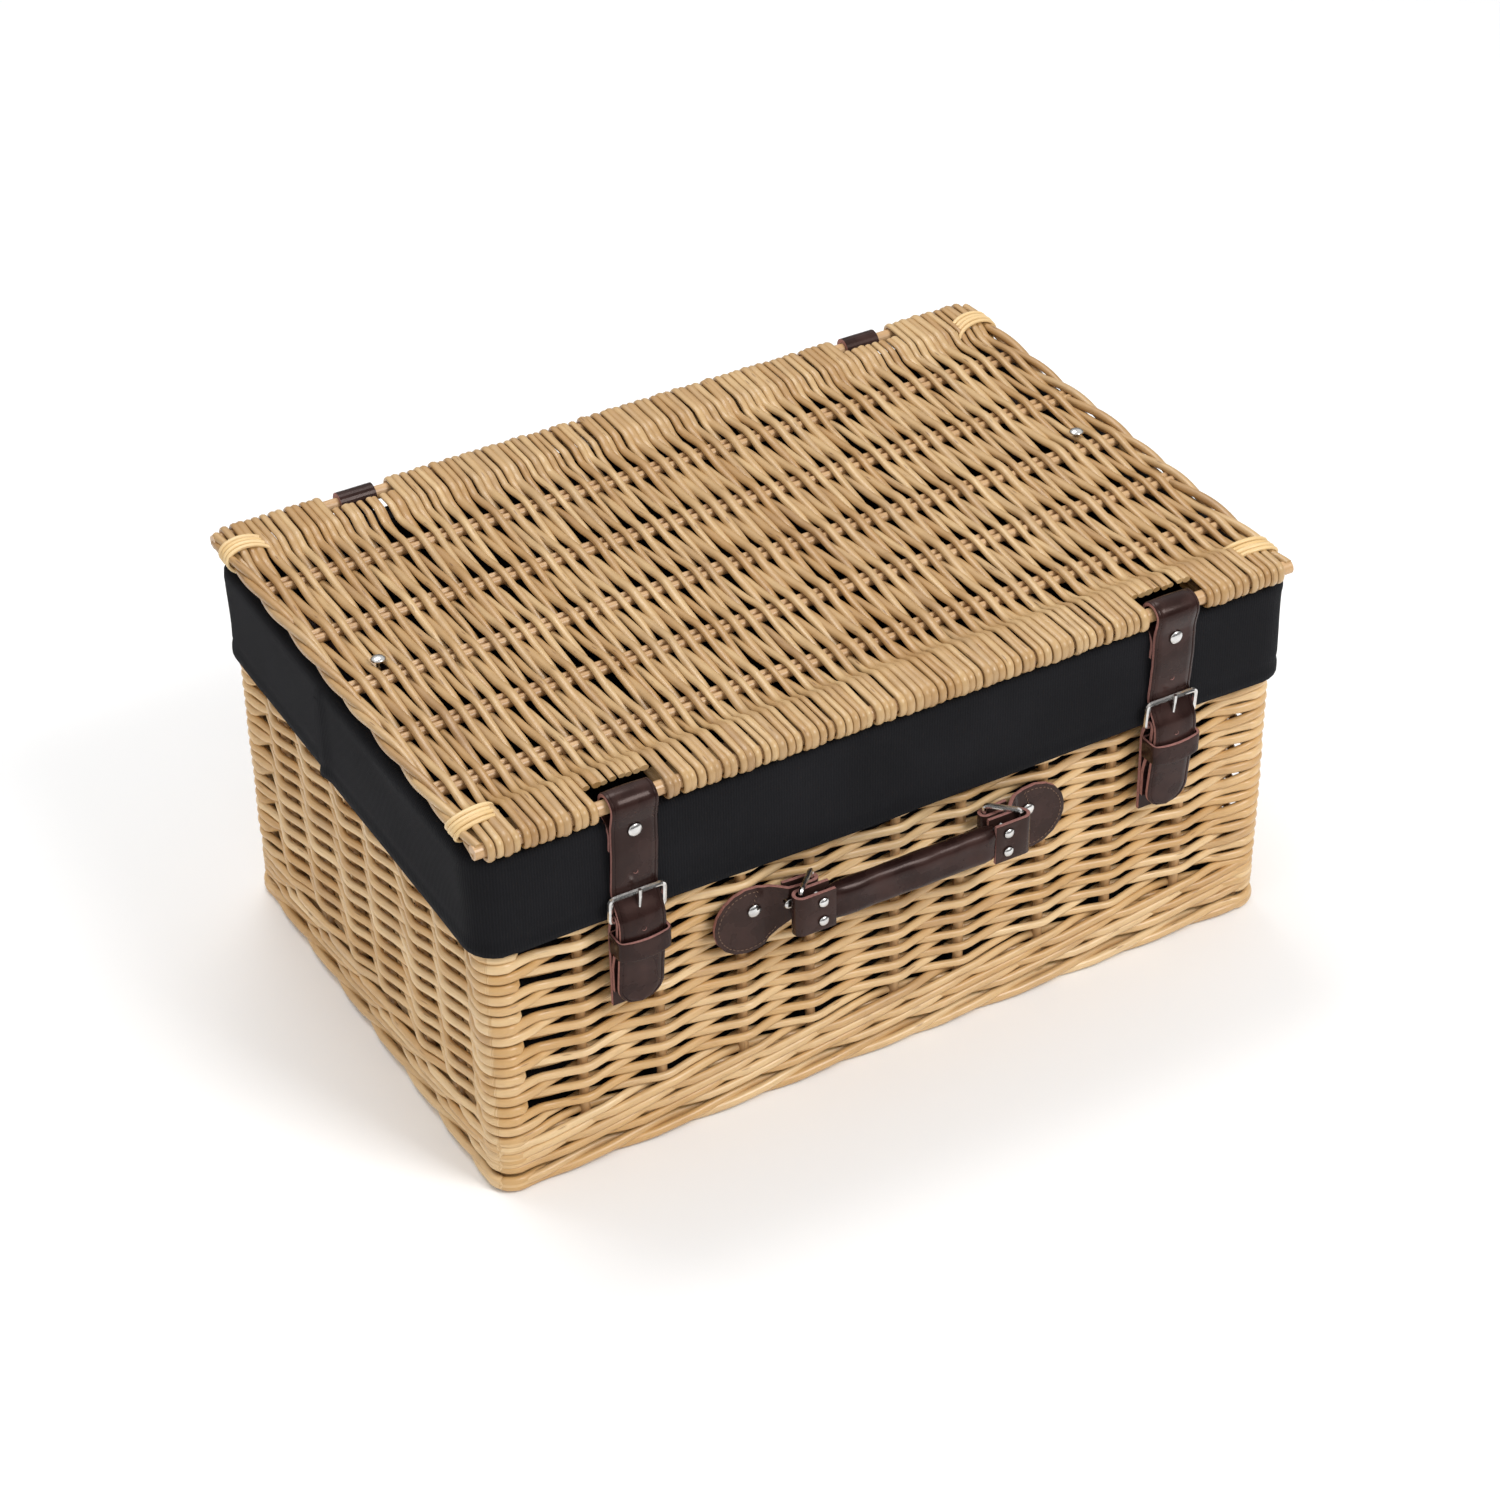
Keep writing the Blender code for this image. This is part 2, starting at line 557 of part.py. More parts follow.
for side, x in CLOSURES.items():
    # The strap hangs from the lid's front stick, goes behind the top bar, over the heel bar
    # and down through the keeper.
    rivet_z = LID_BOTTOM - STRAP_RIVET_DROP
    path = loop_path(rivet_z - 12) + [(STRAP_OUT, rivet_z), (STRAP_OUT, rivet_z - 14)]
    path += [(BEHIND_TOP_BAR + 0.6, TOP_BAR_Z + 9), (BEHIND_TOP_BAR, TOP_BAR_Z + 4)]
    path += [(BEHIND_TOP_BAR, TOP_BAR_Z), (BEHIND_TOP_BAR + 1.6, TOP_BAR_Z - 4.5)]
    path += [(OVER_HEEL - 3.6, HEEL_Z + 6.8), (OVER_HEEL - 0.8, HEEL_Z + 3), (OVER_HEEL + 0.2, HEEL_Z - 2)]
    path += [(OVER_HEEL, HEEL_Z - 8), (OVER_HEEL - 1.4, KEEPER_Z - 2), (OVER_HEEL - 3.0, KEEPER_Z - 14)]
    path += [(OVER_HEEL - 4.2, KEEPER_Z - 25)]
    straight = [((x, *front(0, out, z)[1:]), (STRAP_WIDTH / 2, 0, 0)) for out, z in path]
    tip = [(0.98, 11.0), (0.86, 6.5), (0.62, 2.8), (0.34, 0.8), (0.12, 0.0)]
    straight += [
        (front(x, OVER_HEEL - 5.0 - 0.06 * (12 - rise), STRAP_TIP_Z + rise), (STRAP_WIDTH / 2 * share, 0, 0))
        for share, rise in tip
    ]
    strap = band(f"closure_strap_{side}", straight, STRAP, LEATHER)
    slot = box_cutter(
        f"prong_slot_{side}",
        front(x - SLOT_HALF, OVER_HEEL + 4, HEEL_Z + 1.5),
        front(x + SLOT_HALF, BEHIND_TOP_BAR + 0.6, HEEL_Z + 12.5),
    )
    cut([strap], slot)
    rivet(
        f"closure_rivet_{side}",
        front(x, STRAP_OUT + STRAP / 2 + GAP, rivet_z),
        (0, -1, 0),
        STRAP_OUT - INNER_OUT + STRAP + 2 * GAP,
        [strap],
        burr=3.4,
    )

    # The chape lies on the wall, folds over the heel bar and comes back down to the same rivet.
    path = [(TAB_BACK, TAB_END_Z), (TAB_BACK, KEEPER_Z + 3), (TAB_BACK + 0.6, KEEPER_Z + 7)]
    path += arc((HEEL_OUT, HEEL_Z), FOLD_RADIUS, 180, 0, 8)
    path += [(HEEL_OUT + FOLD_RADIUS - 0.6, KEEPER_Z + 7), (HEEL_OUT + FOLD_RADIUS - 3.4, KEEPER_Z - 5)]
    path += [(TAB_FRONT + 1.0, KEEPER_Z - 14), (TAB_FRONT, KEEPER_Z - 19), (TAB_FRONT, TAB_END_Z + 11)]
    tab = band(
        f"buckle_tab_{side}",
        [(front(x, out, z), (STRAP_WIDTH / 2, 0, 0)) for out, z in path],
        TAB,
        LEATHER,
    )
    slot = box_cutter(
        f"tab_slot_{side}",
        front(x - SLOT_HALF, HEEL_OUT + FOLD_RADIUS + 4, HEEL_Z - 5),
        front(x + SLOT_HALF, HEEL_OUT - FOLD_RADIUS - 4, HEEL_Z + 8),
    )
    cut([tab], slot)
    head = TAB_FRONT + TAB / 2 + GAP
    rivet(
        f"buckle_tab_rivet_{side}",
        front(x, head, KEEPER_Z - 27),
        (0, -1, 0),
        head + WALL - 2,
        [tab, walls["front"]],
        dome=SMALL_DOME,
    )

    # The keeper loop goes between the chape's two layers and round the strap.
    half_x = STRAP_WIDTH / 2 + 0.5 + KEEPER[1] / 2
    deep = OVER_HEEL + STRAP / 2 + 0.6 + KEEPER[1] / 2 - KEEPER_BACK
    loops = [
        rounded_rectangle(half_x + grow, deep / 2 + grow, 2.0 + grow, 3)
        for grow in (KEEPER[1] / 2, -KEEPER[1] / 2)
    ]
    plate(
        f"keeper_{side}",
        loops,
        KEEPER[0] / 2,
        LEATHER,
        Matrix.Translation(Vector(front(x, KEEPER_BACK + deep / 2, KEEPER_Z)) * MM),
    )

    # The buckle's frame turns on its heel bar, and the prong on the same bar.
    half_width = (BUCKLE_WIDTH - BUCKLE_WIRE) / 2
    corners = []
    for across, up, start in ((1, 1, 0), (-1, 1, 90), (-1, 0, 180), (1, 0, 270)):
        centre = (across * (half_width - 2.5), up * BUCKLE_RISE + (-2.5 if up else 2.5))
        corners += arc(centre, 2.5, start, start + 90, 4)
    lean = (TOP_BAR_OUT - HEEL_OUT) / BUCKLE_RISE
    tube(
        f"buckle_frame_{side}",
        [front(x + across, HEEL_OUT + up * lean, HEEL_Z + up) for across, up in corners],
        BUCKLE_WIRE / 2,
        METAL,
        closed=True,
    )
    eye = BUCKLE_WIRE / 2 + GAP + PRONG_WIRE / 2
    over_bar = TOP_BAR_OUT + BUCKLE_WIRE / 2 + GAP + PRONG_WIRE / 2
    hook = arc((HEEL_OUT, HEEL_Z), eye, 105, 360, 14)
    hook += [(HEEL_OUT + eye + 0.1, HEEL_Z + 5), (over_bar - 0.1, TOP_BAR_Z - 2)]
    hook += [(over_bar + 0.1, TOP_BAR_Z + 3.2)]
    tube(
        f"buckle_prong_{side}",
        [front(x, out, z) for out, z in hook],
        PRONG_WIRE / 2,
        METAL,
        closed=False,
    )

# The carrying handle: two riveted patches, two rings, and the grip with its end tabs


def patch_stations(sx):
    """From the rounded end on the wall along the neck, round the ring's inner bar and back."""
    reach, disc_z = PATCH_DISC[0], HANDLE_Z + PATCH_DISC[1]
    lie = GAP + PATCH / 2
    bar, bar_out = NECK_BAR
    stations = []
    for angle in (8, 25, 45, 65, 85, 105, 116):
        along = reach + PATCH_RADIUS * math.cos(math.radians(angle))
        stations.append((along, lie, disc_z, PATCH_RADIUS * math.sin(math.radians(angle))))
    top = bar_out + NECK_FOLD
    rise = ((23.0, lie + 0.9, 0.2), (19.0, lie + 4.4, 0.5), (15.0, top - 1.0, 0.8), (9.0, top, 1.0))
    for along, out, share in rise:
        middle = disc_z + (HANDLE_Z - disc_z) * share
        half = NECK_HALF + (PATCH_RADIUS * 0.9 - NECK_HALF) * (1 - share)
        stations.append((bar + along, out, middle, half))
    for out_part, along_part in arc((0, 0), NECK_FOLD, 0, -180, 8):
        stations.append((bar + along_part, bar_out + out_part, HANDLE_Z, NECK_HALF))
    stations += [(bar + 9.0, bar_out - NECK_FOLD - 0.4, HANDLE_Z, NECK_HALF)]
    stations += [(bar + 16.0, bar_out - NECK_FOLD - 0.9, HANDLE_Z, NECK_HALF)]
    return [(front(HANDLE_X + sx * along, out, z), (0, 0, half)) for along, out, z, half in stations]


ring_span = Vector((GRIP_BAR[0] - NECK_BAR[0], GRIP_BAR[1] - NECK_BAR[1]))
grip = None
tabs = {}
for side, sx in (("left", -1), ("right", 1)):
    patch = band(f"handle_patch_{side}", patch_stations(sx), PATCH, LEATHER)
    for place, (along, up) in zip(("outer", "neck"), PATCH_RIVETS):
        under = GAP + PATCH + GAP if place == "outer" else NECK_BAR[1] + NECK_FOLD + PATCH / 2 + GAP
        rivet(
            f"patch_rivet_{place}_{side}",
            front(HANDLE_X + sx * along, under, HANDLE_Z + up),
            (0, -1, 0),
            under + WALL - 2,
            [patch, walls["front"]],
            dome=DOME if place == "outer" else SMALL_DOME,
        )

    ring = []
    for along, up, start in ((1, 1, 0), (0, 1, 90), (0, -1, 180), (1, -1, 270)):
        radius = 2.2
        centre_u = along * ring_span.length + (-radius if along else radius)
        centre = (centre_u, up * (RING_HALF_HEIGHT - radius))
        ring += arc(centre, radius, start, start + 90, 4)
    leads = ring_span.normalized()
    loop = [(NECK_BAR[0] + u * leads[0], NECK_BAR[1] + u * leads[1], HANDLE_Z + v) for u, v in ring]
    tube(
        f"handle_ring_{side}",
        [front(HANDLE_X + sx * along, out, z) for along, out, z in loop],
        RING_WIRE / 2,
        METAL,
        closed=True,
    )

    bar, bar_out = GRIP_BAR
    path = [(GRIP_HALF_LENGTH + 0.5, bar_out - END_TAB_FOLD)]
    path += arc((bar, bar_out), END_TAB_FOLD, -90, 90, 8)
    path += [(GRIP_HALF_LENGTH + 0.5, bar_out + END_TAB_FOLD)]
    tabs[side] = band(
        f"handle_end_tab_{side}",
        [(front(HANDLE_X + sx * a, o, HANDLE_Z), (0, 0, END_TAB_HALF_HEIGHT)) for a, o in path],
        PATCH,
        LEATHER,
    )


def grip_ring(x, half_thick, half_high, radius):
    section = rounded_rectangle(half_thick, half_high, radius)
    return [front(HANDLE_X + x, GRIP_BAR[1] + out, HANDLE_Z + up) for out, up in section]


# From the middle outwards: the roll, its shoulder, and the tongue that the end tab clamps.
ends = GRIP_HALF_LENGTH - 0.5
tongue = GRIP_BAR[0] - RING_WIRE / 2 - 3.0
half_sections = []
for along, full in ((ends - 7, 1.0), (ends - 2.5, 0.9), (ends, 0.62)):
    thick = GRIP_HALF_THICKNESS * full
    half_sections.append((along, thick, GRIP_HALF_HEIGHT * (0.6 + 0.4 * full), 0.92 * thick))
half_sections += [(ends, TONGUE_HALF, 9.0, 1.0), (tongue, TONGUE_HALF, 9.0, 1.0)]
sections = [grip_ring(-x, *size) for x, *size in reversed(half_sections)]
sections += [grip_ring(x, *size) for x, *size in half_sections]
grip = lofted("handle_grip", sections, LEATHER, closed=False)

for side, sx in (("left", -1), ("right", 1)):
    for place, sz in (("upper", 1), ("lower", -1)):
        head = GRIP_BAR[1] + END_TAB_FOLD + PATCH / 2 + GAP
        rivet(
            f"handle_rivet_{place}_{side}",
            front(HANDLE_X + sx * END_TAB_RIVET[0], head, HANDLE_Z + sz * END_TAB_RIVET[1]),
            (0, -1, 0),
            2 * (END_TAB_FOLD + PATCH / 2 + GAP),
            [tabs[side], grip],
            dome=SMALL_DOME,
            burr=2.6,
        )

# The lid stays: a limp strap each end, riveted to the end wall and under the lid


def stay_stations(sx):
    """The taut line of the open lid, each point turned back by its share of the lid's swing."""
    axis = Vector((STICK_Y, LID_MIDDLE))
    under_lid = LID_BOTTOM - GAP - STAY / 2
    closed = Vector((STAY_LID_Y + 9, under_lid - 0.8))
    opened = axis + turned_back(closed - axis, -LID_SWING)
    wall = Vector((STAY_WALL_Y, STAY_WALL_Z))
    flat_x = HALF_X - INNER - GAP - STAY / 2
    points = []
    for i in range(29):
        share = -0.03 + 1.03 * i / 28
        held = min(max(share, 0.0), 1.0)
        weight = held * held * (3 - 2 * held)
        line = wall + (opened - wall) * share
        points.append((share, axis + turned_back(line - axis, weight * LID_SWING)))
    stations = []
    for i, (share, point) in enumerate(points):
        ahead = points[min(i + 1, 28)][1] - points[max(i - 1, 0)][1]
        edgewise = Vector((-ahead[1], ahead[0])).normalized()
        turn = math.radians(90 * min(max((0.34 - share) / 0.26, 0.0), 1.0))
        settle = min(max((share - 0.05) / 0.25, 0.0), 1.0)
        shift = min(max((share - 0.6) / 0.3, 0.0), 1.0)
        x = flat_x + (STAY_LID_X + 6 - flat_x) * settle - 6 * shift
        half = Vector((math.cos(turn) * sx, math.sin(turn) * edgewise[0], math.sin(turn) * edgewise[1]))
        stations.append(((sx * x, point[0], point[1]), half * STAY_WIDTH / 2))
    flat = [(STAY_LID_Y + 5, under_lid), (STAY_LID_Y - 8, under_lid)]
    return stations + [((sx * STAY_LID_X, y, z), half * STAY_WIDTH / 2) for y, z in flat]


def turned_back(vector, degrees):
    """Turned about +X in the YZ plane."""
    c, s = math.cos(math.radians(degrees)), math.sin(math.radians(degrees))
    return Vector((vector[0] * c - vector[1] * s, vector[0] * s + vector[1] * c))


for side, sx in (("left", -1), ("right", 1)):
    stay = band(f"lid_stay_{side}", stay_stations(sx), STAY, LEATHER)
    rivet(
        f"stay_wall_rivet_{side}",
        (sx * (HALF_X + GAP), STAY_WALL_Y, STAY_WALL_Z),
        (sx, 0, 0),
        WALL + 2 * GAP + CLOTH + GAP + STAY + GAP,
        [walls[side], liner, stay],
        burr=3.4,
    )
    rivet(
        f"stay_lid_rivet_{side}",
        (sx * STAY_LID_X, STAY_LID_Y, LID_TOP + GAP),
        (0, 0, 1),
        LID_THICKNESS + 3 * GAP + STAY,
        [lid, stay],
        burr=3.4,
    )

# Each moving group hangs from an empty on its joint's axis


def carry(name, at, nodes, parent=None):
    frame = bpy.data.objects.new(name, None)
    HAMPER.objects.link(frame)
    frame.location = Vector(at) * MM
    frame.empty_display_size = 0.02
    bpy.context.view_layer.update()
    if parent:
        frame.parent = parent
        frame.matrix_parent_inverse = parent.matrix_world.inverted()
    for node in nodes:
        obj = bpy.data.objects[node]
        obj.parent = frame
        obj.matrix_parent_inverse = frame.matrix_world.inverted()
    return frame


lid_nodes = [obj.name for obj in HAMPER.objects if obj.name.startswith(("lid_", "stay_lid"))]
lid_nodes = [node for node in lid_nodes if not node.startswith("lid_stay")]
lid_hinge = carry("lid_hinge", (0, STICK_Y, LID_MIDDLE), lid_nodes)
for side, x in CLOSURES.items():
    hung = [f"closure_strap_{side}", f"closure_rivet_{side}"]
    carry(f"strap_{side}_swing", (x, -STICK_Y, LID_MIDDLE), hung, lid_hinge)
    heel = front(x, HEEL_OUT, HEEL_Z)
    pivot = carry(f"buckle_{side}_pivot", heel, [f"buckle_frame_{side}"])
    carry(f"prong_{side}_pivot", heel, [f"buckle_prong_{side}"], pivot)
handle_nodes = [obj.name for obj in HAMPER.objects if obj.name.startswith("handle_")]
handle_nodes = [node for node in handle_nodes if not node.startswith("handle_patch")]
carry("handle_lift", front(HANDLE_X, NECK_BAR[1], HANDLE_Z), handle_nodes)
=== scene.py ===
"""The willow hamper's looks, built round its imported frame."""

import json
import math

import bmesh
import bpy
import numpy as np
from mathutils import Matrix, Vector

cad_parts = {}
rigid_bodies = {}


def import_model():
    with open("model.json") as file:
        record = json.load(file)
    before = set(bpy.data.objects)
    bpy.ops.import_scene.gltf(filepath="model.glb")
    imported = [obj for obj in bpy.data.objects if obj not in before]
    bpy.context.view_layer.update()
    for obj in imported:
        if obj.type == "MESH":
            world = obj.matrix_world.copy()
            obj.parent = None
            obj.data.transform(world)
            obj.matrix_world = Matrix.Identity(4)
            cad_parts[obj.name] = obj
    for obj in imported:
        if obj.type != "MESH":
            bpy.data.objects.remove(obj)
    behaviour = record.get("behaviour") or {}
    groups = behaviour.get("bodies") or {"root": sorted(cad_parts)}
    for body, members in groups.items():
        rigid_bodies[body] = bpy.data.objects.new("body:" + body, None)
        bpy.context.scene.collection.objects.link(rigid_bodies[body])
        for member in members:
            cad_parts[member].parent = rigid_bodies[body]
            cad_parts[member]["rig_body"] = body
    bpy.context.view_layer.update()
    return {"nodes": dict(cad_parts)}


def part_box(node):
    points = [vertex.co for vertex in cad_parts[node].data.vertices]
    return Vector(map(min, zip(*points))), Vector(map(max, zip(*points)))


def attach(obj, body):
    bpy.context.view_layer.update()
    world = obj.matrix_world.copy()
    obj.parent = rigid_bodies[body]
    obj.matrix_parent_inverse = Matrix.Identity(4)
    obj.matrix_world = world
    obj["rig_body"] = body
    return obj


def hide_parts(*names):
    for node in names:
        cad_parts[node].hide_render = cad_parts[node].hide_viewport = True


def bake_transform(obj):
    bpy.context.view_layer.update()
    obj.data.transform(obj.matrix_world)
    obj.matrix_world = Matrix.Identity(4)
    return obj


MM = 0.001

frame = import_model()

# Sizes read from the frame

stick_low, stick_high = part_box("lid_front_stick")
LID_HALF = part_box("lid_panel")[1].x
LID_MIDDLE = (stick_low.z + stick_high.z) / 2
STICK_Y = -(stick_low.y + stick_high.y) / 2
STICK_RADIUS = (stick_high.z - stick_low.z) / 2
WALL_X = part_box("wall_right")[1].x
WALL_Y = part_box("wall_back")[1].y
SIDES = ("left", "right")
CLOSURE_X = [sum(c.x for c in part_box(f"closure_strap_{side}")) / 2 for side in SIDES]

# Willow sizes

WALL_BAYS = (10, 7)  # bays between stakes along the front and along an end
CORNER = 15 * MM
WEAVE_DEPTH = 7.6 * MM  # from the wall's outer face to the weaving's middle
WEAVER = 2.6 * MM
WALL_SWING = 5.2 * MM
ROW_STEP = 5.3 * MM
FIRST_ROW = 42 * MM
WALL_ROWS = 28
LID_WEAVER = 2.55 * MM
LID_SWING = 3.6 * MM
LID_WEAVERS = 102
LID_STICKS = (12.0, 68.0, 121.0, 173.0, 222.0, 272.0, 327.0)  # from the back edge, mm

# Hide and cloth sizes

STRAP = 2.6 * MM
CLOTH_THICKNESS = 1.2 * MM


# Trees


def put(tree, kind, inputs=None, **settings):
    """Adds a node; an input is a value, a socket, or a node whose first output is taken."""
    made = tree.nodes.new(kind)
    for name, value in settings.items():
        setattr(made, name, value)
    for key, value in (inputs or {}).items():
        socket = made.inputs[key]
        if isinstance(value, Field):
            value = value.socket
        if isinstance(value, bpy.types.Node):
            value = value.outputs[0]
        if isinstance(value, bpy.types.NodeSocket):
            tree.links.new(value, socket)
        else:
            socket.default_value = value
    return made


class Field:
    """A number that varies over a surface or along a rod; arithmetic on it adds Math nodes."""

    def __init__(self, tree, socket):
        self.tree = tree
        self.socket = socket.outputs[0] if isinstance(socket, bpy.types.Node) else socket

    def math(self, operation, *others, clamp=False):
        inputs = dict(enumerate((self, *others)))
        made = put(self.tree, "ShaderNodeMath", inputs, operation=operation, use_clamp=clamp)
        return Field(self.tree, made)

    def __add__(self, other):
        return self.math("ADD", other)

    def __sub__(self, other):
        return self.math("SUBTRACT", other)

    def __mul__(self, other):
        return self.math("MULTIPLY", other)

    def __truediv__(self, other):
        return self.math("DIVIDE", other)

    def cos(self):
        return self.math("COSINE")

    def sin(self):
        return self.math("SINE")

    def mix(self, other, share):
        """Itself where share is 0, the other where share is 1."""
        if isinstance(other, Field):
            return self + (other - self) * share
        return self * (share * -1.0 + 1.0) + share * other

    def spread(self, low, high, to_low=0.0, to_high=1.0):
        """A clamped change of range."""
        inputs = {0: self, 1: low, 2: high, 3: to_low, 4: to_high}
        return Field(self.tree, put(self.tree, "ShaderNodeMapRange", inputs))


def new_tree(name, kind, inputs, outputs):
    """A node group with named sockets, and its input and output nodes."""
    tree = bpy.data.node_groups.new(name, kind)
    for label, sort, value in inputs:
        socket = tree.interface.new_socket(label, in_out="INPUT", socket_type="NodeSocket" + sort)
        if value is not None:
            socket.default_value = value
    for label, sort in outputs:
        tree.interface.new_socket(label, in_out="OUTPUT", socket_type="NodeSocket" + sort)
    return tree, tree.nodes.new("NodeGroupInput").outputs, tree.nodes.new("NodeGroupOutput").inputs


def named(tree, name, kind="FLOAT"):
    return put(tree, "GeometryNodeInputNamedAttribute", {"Name": name}, data_type=kind)


def kept(tree, geometry, name, value, kind="FLOAT"):
    made = put(
        tree,
        "GeometryNodeStoreNamedAttribute",
        {"Geometry": geometry, "Name": name, "Value": value},
        data_type=kind,
        domain="POINT",
    )
    return made.outputs["Geometry"]


def scaled(tree, vector, number):
    return put(tree, "ShaderNodeVectorMath", {0: vector, "Scale": number}, operation="SCALE")


def summed(tree, first, second):
    return put(tree, "ShaderNodeVectorMath", {0: first, 1: second}, operation="ADD")


def swept(tree, curve, radius, sides, thin, wide, across):
    """Rods along the curves, flattened across the given direction, with what their finish reads."""
    curve = kept(tree, curve, "centre", put(tree, "GeometryNodeInputPosition"), "FLOAT_VECTOR")
    length = put(tree, "GeometryNodeSplineParameter").outputs["Length"]
    curve = kept(tree, curve, "along", length)
    ring = put(tree, "GeometryNodeCurvePrimitiveCircle", {"Resolution": sides, "Radius": 1.0})
    turn = put(tree, "GeometryNodeSplineParameter").outputs["Factor"]
    ring = kept(tree, ring.outputs["Curve"], "around", turn)
    tube = put(
        tree,
        "GeometryNodeCurveToMesh",
        {"Curve": curve, "Profile Curve": ring, "Scale": radius, "Fill Caps": True},
    )
    place = put(tree, "GeometryNodeInputPosition")
    centre = named(tree, "centre", "FLOAT_VECTOR")
    arm = put(tree, "ShaderNodeVectorMath", {0: place, 1: centre}, operation="SUBTRACT")
    part = put(tree, "ShaderNodeVectorMath", {0: arm, 1: across}, operation="PROJECT")
    rest = put(tree, "ShaderNodeVectorMath", {0: arm, 1: part}, operation="SUBTRACT")
    moved = summed(tree, centre, summed(tree, scaled(tree, part, wide), scaled(tree, rest, thin)))
    return put(tree, "GeometryNodeSetPosition", {"Geometry": tube, "Position": moved})


def finished(tree, geometry, material, output):
    """Ends a tree: smooth, without its helper attributes, all real and in its material."""
    geometry = put(tree, "GeometryNodeSetShadeSmooth", {"Geometry": geometry})
    for name in ("centre", "outward"):
        geometry = put(tree, "GeometryNodeRemoveAttribute", {"Geometry": geometry, "Name": name})
    real = put(tree, "GeometryNodeRealizeInstances", {"Geometry": geometry})
    done = put(tree, "GeometryNodeSetMaterial", {"Geometry": real, "Material": material})
    tree.links.new(done.outputs[0], output)


def rods_in_rows(tree, guide, count, step):
    """The guide line repeated, each copy carrying its row number."""
    line = put(tree, "GeometryNodeMeshLine", {"Count": count, "Offset": step})
    rows = kept(tree, line, "row", put(tree, "GeometryNodeInputIndex"))
    curve = put(tree, "GeometryNodeMeshToCurve", {"Mesh": guide})
    copies = put(tree, "GeometryNodeInstanceOnPoints", {"Points": rows, "Instance": curve})
    return put(tree, "GeometryNodeRealizeInstances", {"Geometry": copies})


def drift(tree, row, scale, seed, reach):
    """A slow wandering along each rod, different on every row."""
    place = put(tree, "GeometryNodeInputPosition")
    shift = put(tree, "ShaderNodeCombineXYZ", {0: row * 0.37, 1: row * -0.61, 2: row * 0.83})
    noise = put(
        tree,
        "ShaderNodeTexNoise",
        {"Vector": summed(tree, place, shift), "W": seed, "Scale": scale, "Detail": 1.0},
        noise_dimensions="4D",
    )
    return (Field(tree, noise) - 0.5) * reach


ROD_INPUTS = [
    ("Guide", "Geometry", None),
    ("Rods", "Int", 10),
    ("Step", "Vector", (0, 0, 0.006)),
    ("Swing", "Float", 0.004),
    ("Rod Radius", "Float", 0.003),
    ("Thin", "Float", 0.8),
    ("Wide", "Float", 1.0),
    ("Across", "Vector", (0, 0, 1)),
    ("Wander", "Float", 0.001),
    ("Sides", "Int", 8),
    ("Seed", "Float", 1.0),
    ("Finish", "Material", None),
]


